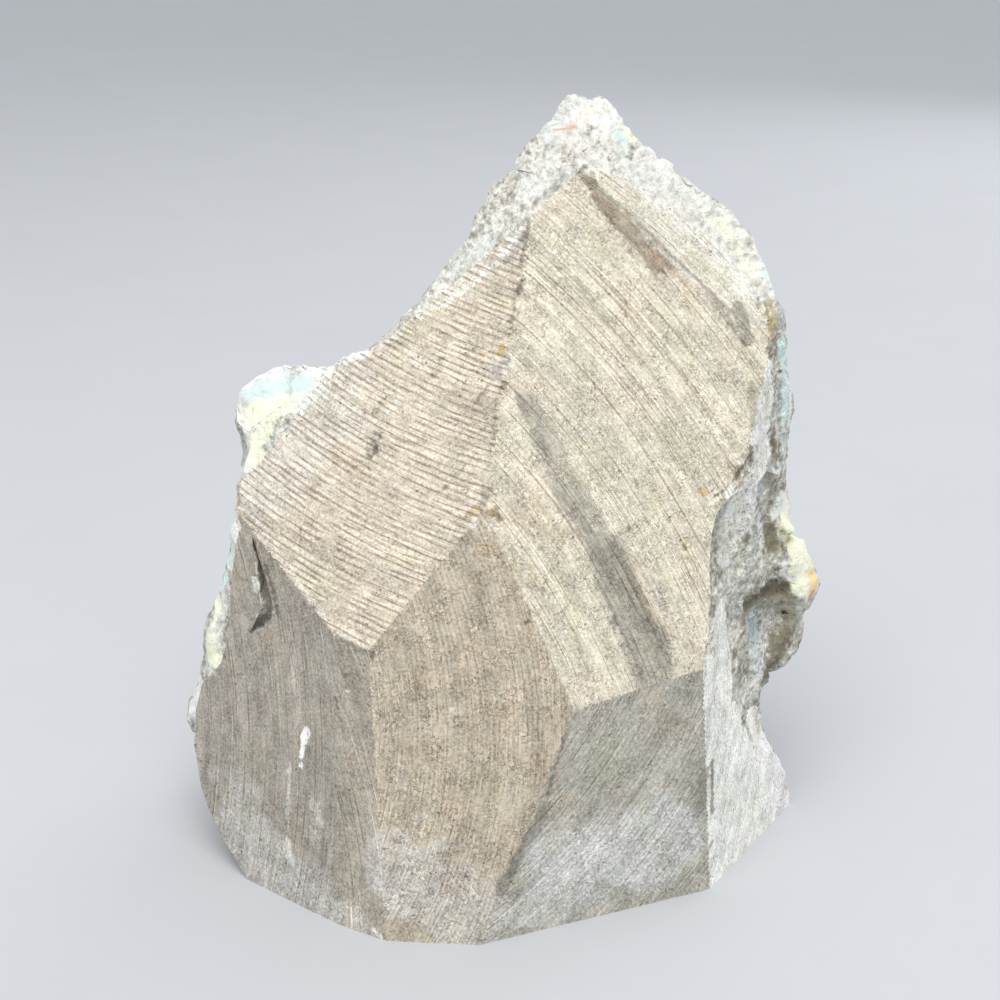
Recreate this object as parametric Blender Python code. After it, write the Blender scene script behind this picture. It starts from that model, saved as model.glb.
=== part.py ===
"""A cut-base amethyst geode, standing on its sawn foot.

The stone is one solid: a shard of a geode's wall, lofted round an axis that runs from its back to its
front, sawn flat on the back and underneath, and hollow in front. The crystals that line the hollow are
grown together into a second solid.

The display side faces +Y and the sawn back faces -Y. The origin is in the middle of the sawn foot.
Sizes and places are in millimetres, and MM turns them into Blender's metres.
"""

import math
import random

import bmesh
import bpy
from mathutils import Vector, noise

MM = 0.001

# Each outline runs counter-clockwise, seen from the back, as (x, z) points of the stone's skin at one depth.
# The skin furthest back, where only the lower right of it is left.
BACK_OUTLINE = [
    (37, -8), (36.5, 0), (35.5, 12), (34, 21), (32, 29), (29.6, 38), (28.2, 47), (28, 56), (30, 65),
    (36.2, 72), (38, 79), (40, 90), (43, 101), (38, 112), (28, 120), (8, 127), (-5, 114), (-22.5, 91.5),
    (-35.8, 83.5), (-48.6, 67), (-50.1, 53), (-52.4, 36), (-58.6, 22), (-57.4, 11.6), (-53.1, 4.7),
    (-48, 0), (-41, -8),
]
# The skin where the saw stopped: it lies this far out at the edge of the sawn faces.
SAWN_OUTLINE = [
    (43.5, -8), (43, 0), (42, 10), (40.2, 18), (37.4, 27), (35.2, 38), (33.4, 47), (31, 56), (31.4, 63),
    (35.6, 69), (38, 79), (40, 90), (43, 101), (38, 112), (28, 120), (17, 126), (8, 127), (1, 123),
    (-5, 114), (-10, 106.5), (-17, 98), (-22.5, 91.5), (-27, 88), (-31.4, 86.2), (-35.8, 83.5),
    (-39.5, 78.9), (-44.2, 73.5), (-48.6, 67), (-49.9, 61), (-50.1, 53), (-50.9, 44), (-52.4, 36),
    (-56.6, 31), (-58.6, 22), (-57.4, 11.6), (-53.1, 4.7), (-48, 0), (-41, -8),
]
# The skin a third of the way from there to the front, where the left side is widest.
MIDDLE_OUTLINE = [
    (46, -8), (49.3, -3), (49.5, 0), (46, 11), (42, 20), (41.6, 25.5), (42.8, 31), (43.2, 38), (42, 46),
    (40, 54), (39.8, 62), (41.5, 71), (42.4, 80), (42, 90), (43, 101), (37, 110), (28, 118), (17, 124),
    (8, 125.5), (1, 123), (-5, 114), (-10, 106.5), (-17, 97.8), (-22.4, 91.5), (-26.8, 87.8),
    (-31.4, 86.2), (-35.8, 83.7), (-40.3, 78.9), (-44.7, 73.9), (-48, 70), (-49.6, 65), (-51, 60),
    (-52.3, 53), (-54.2, 46.1), (-56.5, 38), (-58.6, 29.5), (-60.6, 22), (-60, 15.5), (-57, 9), (-53, 4.7),
    (-47, 0), (-40, -8),
]
# The skin where the right side bulges most.
BULGE_OUTLINE = [
    (43, -8), (47.5, -3), (48, 0), (45, 9), (42.5, 17), (43.6, 24), (46.5, 29.5), (48.8, 34), (49.6, 40),
    (49.4, 45), (47.6, 51), (46.4, 56), (46.1, 61.5), (46.6, 69), (46.5, 76.4), (45.4, 83.7), (43.6, 92),
    (41.4, 99.7), (35.8, 108.3), (27.1, 115.1), (19.3, 120.6), (15, 123.5), (9, 126), (3, 124),
    (0.2, 121.6), (-5, 113.4), (-10.1, 105.7), (-17.1, 97.1), (-22.4, 90.9), (-27.7, 85.5), (-32.3, 83.6),
    (-36.8, 81.8), (-41.8, 82.2), (-46.2, 81.5), (-49.8, 79), (-51.4, 75.5), (-51, 70.5), (-50.8, 65),
    (-52, 60), (-52.8, 52), (-54.4, 43), (-56.5, 33), (-57.6, 24), (-55, 13), (-50, 4.7), (-45, 0),
    (-38, -8),
]
# The skin at the rim of the display side.
RIM_OUTLINE = [
    (42, -8), (45.4, -3), (46, 0), (43, 8), (42.5, 15), (45.5, 22.5), (50, 29), (51.8, 35), (51.6, 40),
    (49, 46), (46.8, 52), (46.2, 58), (47, 66), (47.2, 73.7), (46, 81), (43.8, 92), (40, 100.5),
    (34, 107.5), (26.4, 113.4), (19.6, 118.6), (15.5, 122.5), (11, 126), (6.5, 126), (2.4, 122),
    (-3.6, 112), (-9.6, 103.6), (-17, 94.6), (-22.8, 88), (-28, 82.3), (-33, 79.4), (-38, 78.6), (-43, 78.4),
    (-47, 76.6), (-49.4, 73.4), (-49.6, 68), (-48.6, 61), (-49.6, 52), (-51, 43), (-52.6, 33), (-53, 24),
    (-50.5, 13), (-46, 4.7), (-42, 0), (-36, -8),
]
# The edge of the hollow, which leaves a rim of rind and agate round it.
HOLLOW_OUTLINE = [
    (20, 9.5), (33, 11), (36.5, 21), (42, 31), (42.5, 39), (38.5, 49), (38, 60), (39, 74), (36.5, 88),
    (31, 100), (22, 107.5), (13, 112.5), (7, 111), (1, 103), (-6, 93.5), (-15, 84), (-24, 75), (-33, 70.5),
    (-41, 68), (-41, 58), (-42.5, 46), (-45, 33), (-45, 24), (-38, 14), (-20, 9.5), (0, 9),
]
HOLLOW_WIDTH, HOLLOW_HEIGHT = (-46, 44), (9, 113)
# The depth, from back to front, at which each outline holds.
STATIONS = [
    (-9, BACK_OUTLINE),
    (4, SAWN_OUTLINE),
    (14, MIDDLE_OUTLINE),
    (24, BULGE_OUTLINE),
    (32, RIM_OUTLINE),
]
AXIS_X, AXIS_Z = 0, 50

RING_POINTS = 108
SIDE_DEPTHS = [-34, -9, -4.5, 0, 4, 8, 12, 16, 20, 24, 28, 32]
# How far each ring of the rim's face has gone from the rim to the hollow, and the depth it lies at.
FACE_RINGS = [(0.12, 34.2), (0.38, 35.4), (0.7, 35.0), (1.0, 33.4)]
HOLLOW_RINGS = [0.9, 0.74, 0.48, 0.2]
HOLLOW_EDGE_Y = 33.4
HOLLOW_DEPTH = 24
ROUGHNESS = 0.8
ROUGH_SIZE = 9
FACE_SWELL = 1.3

# Each saw cut: a corner that it passes through, the way it faces round the stone (0 is straight back and
# +90 is the right), and how far it leans back from upright, in degrees.
SAW_CUTS = {
    "left_roof": ((0, 17, 110), -60.4, 47.3),
    "peak_roof": ((0, 17, 110), -53.4, 56.1),
    "back_left_roof": ((-25.6, -13.3, 46.2), -26.0, 31.0),
    "back_right_roof": ((7.1, -18.6, 37.1), 20.0, 26.2),
    "right_roof": ((39.1, 19.7, 88.1), 31.1, 34.1),
    "back_nose": ((-8.3, -29.3, 0), -4.3, 17.6),
    "left_flank": ((-31.2, -23.9, 0), -38.8, 12.5),
    "back_left_flank": ((-23.6, -28.1, 0), -29.6, 14.0),
    "back_right_flank": ((31, -12.8, 0), 22.8, 6.0),
    "right_foot": ((49.3, 16.4, 0), 57.9, 5.6),
}

# Lumps that stand out of the skin: centre, half sizes.
LUMPS = [
    ((8.6, 33, 119.8), (8.0, 5.0, 7.8)),
    ((3.2, 29.5, 119.6), (4.8, 4.4, 5.2)),
    ((15.4, 33, 118.0), (4.8, 4.0, 4.8)),
    ((22.9, 33.5, 115.0), (2.6, 3.0, 2.8)),
    ((-43.6, 25.0, 74.6), (8.4, 7.0, 7.4)),
    ((-31.4, 20.5, 83.0), (4.0, 4.0, 2.8)),
    ((-54.0, 13.0, 35.5), (3.8, 6.4, 7.6)),
    ((-58.6, 15.0, 20.0), (3.6, 5.4, 5.2)),
    ((45.4, 23.0, 43.0), (7.6, 6.6, 8.4)),
    ((44.2, 21.0, 32.8), (6.6, 6.6, 7.8)),
    ((42.8, 25.0, 56.0), (4.6, 7.0, 8.4)),
]
LUMP_SWELL = 0.3
# A pocket that the agate left in the right side, and a vug above it: centre, half sizes.
POCKETS = [
    ((45.5, 9.5, 37.0), (7.0, 7.4, 9.6)),
    ((43.6, 12.4, 53.4), (2.2, 4.6, 3.2)),
    ((40.4, 5.5, 64.0), (3.6, 4.0, 8.0)),
]
POCKET_SWELL = 0.35
# A chip out of the left flank: its corners on the sawn face, and its depth.
CHIP_CORNERS = [(-47.1, 5.4, 57.9), (-44.2, 1, 50.7), (-42.6, -1.9, 45.2), (-47.7, 1.3, 41.9),
                (-45.4, 0.8, 46.6), (-46.5, 3.1, 51.7)]
CHIP_DEPTH = 1.8

# The crystals' half widths, the large ones first, and how many places are tried for each.
CRYSTAL_SIZES = [(7.2, 60), (6.0, 200), (4.9, 800), (3.9, 2500), (3.0, 1500)]
CRYSTAL_SPACING = 0.74
CRYSTAL_LEAN = 0.42
# The heights of a crystal's sides and of its point, and how uneven it is, as shares of its half width.
CRYSTAL_RISE = 0.45
CRYSTAL_POINT = 1.5
CRYSTAL_UNEVEN = 0.16
SMALL_CRYSTAL = 3.4
CRYSTAL_EDGE = 0.97
# Tips come forward no further than this, in the middle of the hollow and at its edge.
TIP_LIMITS = (29, 40)
CRUST_GAP = 1.3
CRUST_THICKNESS = 2.4
CRUST_TOP = CRUST_GAP + CRUST_THICKNESS
CRUST_RINGS = [0.975, *HOLLOW_RINGS]
CRUST_STEP = 2
SEED = 8

STONE_COLOUR = (0.36, 0.33, 0.29, 1)
AMETHYST_COLOUR = (0.24, 0.09, 0.42, 1)


def clear_scene():
    """Removes the objects that the file opened with."""
    for obj in list(bpy.data.objects):
        bpy.data.objects.remove(obj)


def material(name, colour, roughness):
    """A plain surface of one colour."""
    made = bpy.data.materials.new(name)
    made.use_nodes = True
    shader = made.node_tree.nodes["Principled BSDF"]
    shader.inputs["Base Color"].default_value = colour
    shader.inputs["Roughness"].default_value = roughness
    made.diffuse_color = colour
    return made


def add_object(name, bm, surface=None):
    """Makes an object from a bmesh."""
    mesh = bpy.data.meshes.new(name)
    bmesh.ops.recalc_face_normals(bm, faces=bm.faces)
    bm.to_mesh(mesh)
    bm.free()
    if surface:
        mesh.materials.append(surface)
    obj = bpy.data.objects.new(name, mesh)
    bpy.context.scene.collection.objects.link(obj)
    return obj


def helper(name, bm):
    """Makes an object that only shapes others."""
    obj = add_object(name, bm)
    obj.hide_render = True
    obj.display_type = "WIRE"
    return obj


def boolean(obj, operation, other, self_crossing=False):
    """Adds a Boolean to the object."""
    modifier = obj.modifiers.new(operation.title(), "BOOLEAN")
    modifier.operation = operation
    modifier.object = other
    modifier.solver = "EXACT"
    modifier.use_self = self_crossing


def keep_outer_skin(obj):
    """Applies the modifiers and fills the sealed voids between pieces that have grown together."""
    evaluated = obj.evaluated_get(bpy.context.evaluated_depsgraph_get())
    obj.data = bpy.data.meshes.new_from_object(evaluated)
    obj.modifiers.clear()
    bm = bmesh.new()
    bm.from_mesh(obj.data)
    islands, unseen = [], set(bm.verts)
    while unseen:
        island, edge_of_search = set(), [unseen.pop()]
        while edge_of_search:
            vert = edge_of_search.pop()
            island.add(vert)
            for edge in vert.link_edges:
                other = edge.other_vert(vert)
                if other in unseen:
                    unseen.remove(other)
                    edge_of_search.append(other)
        islands.append(island)
    outer = max(islands, key=len)
    bmesh.ops.delete(bm, geom=[vert for vert in bm.verts if vert not in outer], context="VERTS")
    bm.to_mesh(obj.data)
    bm.free()


def rounded(outline, steps=4):
    """The outline as a smooth closed curve through its points."""
    curve = []
    count = len(outline)
    for i in range(count):
        before, start, end, after = (Vector(outline[(i + k) % count]) for k in (-1, 0, 1, 2))
        for step in range(steps):
            t = step / steps
            curve.append(
                0.5 * (2 * start + (end - before) * t + (2 * before - 5 * start + 4 * end - after) * t * t
                       + (3 * start - before - 3 * end + after) * t * t * t)
            )
    return curve


def reach(curve, angle):
    """How far the curve lies from the axis in that direction."""
    along = Vector((math.cos(angle), math.sin(angle)))
    centre = Vector((AXIS_X, AXIS_Z))
    best = 0.0
    for start, end in zip(curve, curve[1:] + curve[:1]):
        a, b = start - centre, end - centre
        side_a, side_b = along.cross(a), along.cross(b)
        if side_a * side_b > 0 or side_a == side_b:
            continue
        crossing = a.lerp(b, side_a / (side_a - side_b))
        best = max(best, crossing.dot(along))
    return best


def even_angles(curve, count):
    """Directions that meet the curve at even steps along its length."""
    ends = curve[1:] + curve[:1]
    lengths = [(b - a).length for a, b in zip(curve, ends)]
    step = sum(lengths) / count
    angles, walked, wanted = [], 0.0, 0.0
    for start, end, length in zip(curve, ends, lengths):
        while wanted < walked + length and len(angles) < count:
            point = start.lerp(end, (wanted - walked) / length)
            angles.append(math.atan2(point.y - AXIS_Z, point.x - AXIS_X))
            wanted += step
        walked += length
    return angles


class Skin:
    """The stone's outer skin and its hollow, as distances from the axis by direction and depth."""

    def __init__(self):
        curves = [rounded(outline) for _, outline in STATIONS]
        self.angles = even_angles(curves[-1], RING_POINTS)
        self.outlines = [[reach(curve, angle) for angle in self.angles] for curve in curves]
        hollow = rounded(HOLLOW_OUTLINE)
        self.hollow = [reach(hollow, angle) for angle in self.angles]
        self.hollow_curve = hollow

    def side(self, index, y):
        """Distance of the skin from the axis at a depth."""
        depths = [depth for depth, _ in STATIONS]
        if y <= depths[0]:
            return self.outlines[0][index]
        for k in range(len(depths) - 1):
            if y <= depths[k + 1]:
                t = (y - depths[k]) / (depths[k + 1] - depths[k])
                t = t * t * (3 - 2 * t)
                return self.outlines[k][index] * (1 - t) + self.outlines[k + 1][index] * t
        return self.outlines[-1][index]

    def place(self, index, distance, y):
        """The point at a distance from the axis and a depth."""
        angle = self.angles[index]
        return Vector((AXIS_X + distance * math.cos(angle), y, AXIS_Z + distance * math.sin(angle)))

    def hollow_point(self, index, share, lift=0.0):
        """A point on the hollow's floor. share is 1 at its edge and 0 on the axis."""
        return self.place(index, self.hollow[index] * share, floor_depth(share) + lift)

    def share_at(self, x, z):
        """How far a place lies from the axis, as a share of the way to the hollow's edge."""
        distance = math.hypot(x - AXIS_X, z - AXIS_Z)
        return distance / reach(self.hollow_curve, math.atan2(z - AXIS_Z, x - AXIS_X))

    def floor(self, x, z):
        """The hollow's floor at a place, and the way it faces."""
        step = 0.5
        depth = floor_depth(self.share_at(x, z))
        slope_x = (floor_depth(self.share_at(x + step, z)) - depth) / step
        slope_z = (floor_depth(self.share_at(x, z + step)) - depth) / step
        return Vector((x, depth, z)), Vector((-slope_x, 1, -slope_z)).normalized()


def floor_depth(share):
    """The depth of the hollow's floor."""
    return HOLLOW_EDGE_Y - HOLLOW_DEPTH * max(0.0, 1 - share * share) ** 0.8


def roughened(point, amount):
    """The point pushed about by the stone's natural lumps."""
    where = point / ROUGH_SIZE
    push = noise.noise_vector(where) + 0.5 * noise.noise_vector(2.3 * where + Vector((7, 3, 5)))
    return point + push * amount


def rings_to_bmesh(rings, back, front):
    """Skins a row of rings and closes it with a point at each end."""
    bm = bmesh.new()
    rows = [[bm.verts.new(point * MM) for point in ring] for ring in rings]
    for low, high in zip(rows, rows[1:]):
        for i in range(len(low)):
            j = (i + 1) % len(low)
            bm.faces.new((low[i], low[j], high[j], high[i]))
    for row, point in ((rows[0], back), (rows[-1], front)):
        tip = bm.verts.new(point * MM)
        for i in range(len(row)):
            bm.faces.new((row[i], row[(i + 1) % len(row)], tip))
    bmesh.ops.recalc_face_normals(bm, faces=bm.faces)
    return bm


def stone_rings(skin):
    """The rings of the uncut stone, from behind its back to the middle of its hollow."""
    rings = []
    for y in SIDE_DEPTHS:
        rings.append([roughened(skin.place(i, skin.side(i, y), y), ROUGHNESS) for i in range(RING_POINTS)])
    rim_y = STATIONS[-1][0]
    for share, y in FACE_RINGS:
        ring = []
        for i in range(RING_POINTS):
            distance = skin.side(i, rim_y) * (1 - share) + skin.hollow[i] * share
            amount = ROUGHNESS * FACE_SWELL * (1 - share)
            ring.append(roughened(skin.place(i, distance, y), amount))
        rings.append(ring)
    for share in HOLLOW_RINGS:
        rings.append([skin.hollow_point(i, share) for i in range(RING_POINTS)])
    return rings


def facing_out(facing, leaning):
    """The outward direction of a plane, from the way it faces and how far it leans back."""
    facing, leaning = math.radians(facing), math.radians(leaning)
    level = math.cos(leaning)
    return Vector((math.sin(facing) * level, -math.cos(facing) * level, math.sin(leaning)))


def slice_off(bm, point, outward):
    """Removes what lies outside a plane and closes the hole with one flat face."""
    everything = bm.verts[:] + bm.edges[:] + bm.faces[:]
    cut = bmesh.ops.bisect_plane(
        bm, geom=everything, plane_co=Vector(point) * MM, plane_no=outward, clear_outer=True)
    edges = [part for part in cut["geom_cut"] if isinstance(part, bmesh.types.BMEdge)]
    bmesh.ops.edgenet_fill(bm, edges=edges)


def lumpy_ball(centre, half_sizes, lumps):
    """A rough rounded shape for cutting a pocket."""
    bm = bmesh.new()
    bmesh.ops.create_icosphere(bm, subdivisions=2, radius=1)
    for vert in bm.verts:
        swell = 1 + lumps * noise.noise(vert.co * 2.1 + Vector(centre))
        vert.co = (Vector(centre) + Vector(half_sizes) * vert.co * swell) * MM
    return bm


def chip_cutter():
    """A thin wedge that stands through the left flank."""
    _, facing, leaning = SAW_CUTS["left_flank"]
    outward = facing_out(facing, leaning)
    bm = bmesh.new()
    outer = [bm.verts.new((Vector(corner) + outward * 3) * MM) for corner in CHIP_CORNERS]
    inner = [bm.verts.new((Vector(corner) - outward * CHIP_DEPTH) * MM) for corner in CHIP_CORNERS]
    bm.faces.new(outer)
    bm.faces.new(inner[::-1])
    for i in range(len(outer)):
        j = (i + 1) % len(outer)
        bm.faces.new((outer[i], inner[i], inner[j], outer[j]))
    return bm


def build_stone(skin):
    """The basalt with its rind, as one solid."""
    bm = rings_to_bmesh(stone_rings(skin), Vector((AXIS_X, SIDE_DEPTHS[0], AXIS_Z)),
                        Vector((AXIS_X, floor_depth(0), AXIS_Z)))
    for corner, facing, leaning in SAW_CUTS.values():
        slice_off(bm, corner, facing_out(facing, leaning))
    slice_off(bm, (0, 0, 0), Vector((0, 0, -1)))
    stone = add_object("basalt_stone", bm, material("basalt", STONE_COLOUR, 0.85))
    for centre, half_sizes in LUMPS:
        boolean(stone, "UNION", helper("lump", lumpy_ball(centre, half_sizes, LUMP_SWELL)))
    for centre, half_sizes in POCKETS:
        boolean(stone, "DIFFERENCE", helper("pocket_cutter", lumpy_ball(centre, half_sizes, POCKET_SWELL)))
    boolean(stone, "DIFFERENCE", helper("chip_cutter", chip_cutter()))
    return stone


def crust_sheet(skin):
    """The thin layer of quartz that the crystals stand on."""
    around = range(0, RING_POINTS, CRUST_STEP)
    under = [[skin.hollow_point(i, share, CRUST_GAP) for i in around] for share in CRUST_RINGS]
    over = [[skin.hollow_point(i, share, CRUST_TOP) for i in around] for share in CRUST_RINGS]
    back = Vector((AXIS_X, floor_depth(0) + CRUST_GAP, AXIS_Z))
    front = Vector((AXIS_X, floor_depth(0) + CRUST_TOP, AXIS_Z))
    return rings_to_bmesh(under[::-1] + over, back, front)


def crystal_places(skin, draw):
    """Where crystals stand, as (x, z, half width), the large ones first."""
    places = []
    for size, tries in CRYSTAL_SIZES:
        for _ in range(tries):
            x, z = draw.uniform(*HOLLOW_WIDTH), draw.uniform(*HOLLOW_HEIGHT)
            half = size * draw.uniform(0.88, 1.12)
            share = skin.share_at(x, z)
            tip = floor_depth(share) + CRUST_TOP + half * (1.5 * CRYSTAL_RISE + CRYSTAL_POINT)
            limit = TIP_LIMITS[0] + (TIP_LIMITS[1] - TIP_LIMITS[0]) * max(0.0, 2 * share - 1)
            if share > CRYSTAL_EDGE or tip > limit:
                continue
            if all(math.hypot(x - a, z - b) > CRYSTAL_SPACING * (half + c) for a, b, c in places):
                places.append((x, z, half))
    return places


def in_hollow(skin, point):
    """The point, drawn in towards the axis and forwards if it lies too near the hollow's wall."""
    share = skin.share_at(point.x, point.z)
    over = max(1.0, share / CRYSTAL_EDGE)
    point.x = AXIS_X + (point.x - AXIS_X) / over
    point.z = AXIS_Z + (point.z - AXIS_Z) / over
    point.y = max(point.y, floor_depth(share / over) + CRUST_GAP + CRUST_THICKNESS * 0.5)
    return point


def add_crystal(bm, skin, place, draw):
    """A crystal with flat, uneven faces, rooted in the layer of quartz. A small one is only a point."""
    x, z, half = place
    foot, normal = skin.floor(x, z)
    foot.y += CRUST_TOP
    lean = Vector([draw.uniform(-1, 1) for _ in range(3)]) * CRYSTAL_LEAN
    axis = (normal + lean + Vector((0, 0.35, 0))).normalized()
    across = axis.orthogonal().normalized()
    up = axis.cross(across)
    turn = draw.uniform(0, math.pi / 3)
    rise = half * CRYSTAL_RISE * draw.uniform(0.6, 1.5)
    uneven = half * CRYSTAL_UNEVEN
    root, shoulder = [], []
    for k in range(6):
        angle = turn + k * math.pi / 3
        out = (across * math.cos(angle) + up * math.sin(angle)) * half * draw.uniform(0.9, 1.08)
        level = in_hollow(skin, foot + out + axis * (rise + draw.uniform(-uneven, uneven)))
        bed = in_hollow(skin, Vector((foot.x + out.x, 0, foot.z + out.z)))
        root.append(bm.verts.new(bed * MM))
        shoulder.append(level)
    off_centre = across * draw.uniform(-uneven, uneven) + up * draw.uniform(-uneven, uneven)
    tip = bm.verts.new(in_hollow(skin, foot + off_centre + axis * (rise + half * CRYSTAL_POINT)) * MM)
    base = bm.verts.new(sum((vert.co for vert in root), Vector()) / 6)
    top = root
    if half > SMALL_CRYSTAL:
        top = [bm.verts.new(point * MM) for point in shoulder]
    for i in range(6):
        j = (i + 1) % 6
        bm.faces.new((root[j], root[i], base))
        bm.faces.new((top[i], top[j], tip))
        if top is not root:
            bm.faces.new((root[i], root[j], top[j]))
            bm.faces.new((root[i], top[j], top[i]))


def crystal_cluster(skin):
    """All the crystals, still crossing each other."""
    draw = random.Random(SEED)
    bm = bmesh.new()
    for place in crystal_places(skin, draw):
        add_crystal(bm, skin, place, draw)
    return bm


def build_crust(skin):
    """The amethyst: the crystals and the layer under them, grown together into one solid."""
    crust = add_object("amethyst_crystals", crust_sheet(skin), material("amethyst", AMETHYST_COLOUR, 0.1))
    boolean(crust, "UNION", helper("crystal_cluster", crystal_cluster(skin)), self_crossing=True)
    keep_outer_skin(crust)
    return crust


def main():
    clear_scene()
    skin = Skin()
    build_stone(skin)
    build_crust(skin)


main()
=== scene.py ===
"""A cut-base amethyst geode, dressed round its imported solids.

The stone stands on its sawn foot with its sawn back to -Y and its crystals to +Y. Sizes and places are in
millimetres, and MM turns them into Blender's metres.
"""

from __future__ import annotations

import logging
import math
from dataclasses import dataclass, field, replace
from enum import Enum
from typing import Any, ClassVar, Iterable, Sequence

import bmesh
import bpy
import numpy as np
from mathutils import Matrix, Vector
from mathutils.bvhtree import BVHTree
from mathutils.geometry import delaunay_2d_cdt


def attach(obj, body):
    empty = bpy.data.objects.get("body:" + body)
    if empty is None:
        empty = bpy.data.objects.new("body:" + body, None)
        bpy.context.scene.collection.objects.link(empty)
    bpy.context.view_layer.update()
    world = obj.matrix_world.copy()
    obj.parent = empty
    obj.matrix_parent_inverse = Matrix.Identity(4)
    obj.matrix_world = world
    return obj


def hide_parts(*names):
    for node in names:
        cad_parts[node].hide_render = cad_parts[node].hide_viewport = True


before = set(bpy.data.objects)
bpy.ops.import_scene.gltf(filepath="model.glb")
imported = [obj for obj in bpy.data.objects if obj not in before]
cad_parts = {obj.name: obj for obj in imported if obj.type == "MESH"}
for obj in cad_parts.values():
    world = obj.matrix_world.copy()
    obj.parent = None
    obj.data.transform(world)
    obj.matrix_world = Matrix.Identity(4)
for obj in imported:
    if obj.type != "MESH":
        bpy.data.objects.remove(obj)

log = logging.getLogger("geode")

MM = 0.001
# A point lower than this, in millimetres, stands on the floor.
ON_FLOOR = 1e-3
Array = np.ndarray
Point = tuple[float, float, float]
Colour = tuple[float, float, float]
Outline = tuple[tuple[float, float], ...]
Spot = tuple[float, ...]
# Marks hold a radius, a strength and a raggedness, and then the spots of a path.
Marks = dict["Stain", list[tuple[Any, ...]]]

# The sawn back is laid out as seen along OUT, which points straight out of it.
RIGHT = np.array([1.0, 0.0, 0.0])
OUT = np.array([0.0, -0.9242, 0.3819])
RISE = np.cross(OUT, RIGHT)


def smooth(low: float, high: float, value: Array) -> Array:
    """A soft step from 0 at low to 1 at high."""
    part = np.clip((value - low) / (high - low), 0.0, 1.0)
    return part * part * (3 - 2 * part)


def unit(vectors: Array) -> Array:
    """The vectors at a length of one."""
    return vectors / np.maximum(np.linalg.norm(vectors, axis=-1, keepdims=True), 1e-12)


class LatticeNoise:
    """Smooth random values from -1 to 1 on a lattice, the same in each run."""

    SIDE = 64
    OFFSET = 31.7
    OCTAVE_SHIFT = 7.3

    def __init__(self, seed: int) -> None:
        """Draws the lattice from its seed."""
        self.values = np.random.default_rng(seed).uniform(-1, 1, (self.SIDE,) * 3)

    def at(self, places: Array, cell: float | Sequence[float] = 1.0) -> Array:
        """The noise at each place.

        Args:
            places: points, one a row.
            cell: the size of a lattice cell, one for all axes or one each.

        Returns:
            One value for each place.
        """
        scaled = places / np.asarray(cell) + self.OFFSET
        base = np.floor(scaled).astype(np.int64)
        part = scaled - base
        part = part * part * (3 - 2 * part)
        x, y, z = (base % self.SIDE).T
        u, v, w = ((base + 1) % self.SIDE).T
        px, py, pz = part.T
        low, high = (
            (self.values[x, y, k] * (1 - px) + self.values[u, y, k] * px) * (1 - py)
            + (self.values[x, v, k] * (1 - px) + self.values[u, v, k] * px) * py
            for k in (z, w)
        )
        return low * (1 - pz) + high * pz

    def fractal(self, places: Array, cell: float, octaves: int = 3, fade: float = 0.5) -> Array:
        """Noise with finer noise on it.

        Args:
            places: points, one a row.
            cell: the size of the coarsest cells.
            octaves: how many sizes are added, each half the one before.
            fade: how strong each is, as a share of the one before.

        Returns:
            One value for each place.
        """
        return sum(fade**k * self.at(places + self.OCTAVE_SHIFT * k, cell / 2**k) for k in range(octaves))


NOISE_SEED = 11
NOISE = LatticeNoise(NOISE_SEED)
# Stains and crumbs run deeper into the stone than they are wide, so depth counts for less in them.
SIDEWAYS = (1.0, 0.45, 1.0)


class Cut(Enum):
    """The sawn faces, by where they lie on the back."""

    LEFT_ROOF = 0
    PEAK_ROOF = 1
    BACK_LEFT_ROOF = 2
    BACK_RIGHT_ROOF = 3
    RIGHT_ROOF = 4
    BACK_NOSE = 5
    LEFT_FLANK = 6
    BACK_LEFT_FLANK = 7
    BACK_RIGHT_FLANK = 8
    RIGHT_FOOT = 9
    FOOT = 10


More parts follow.
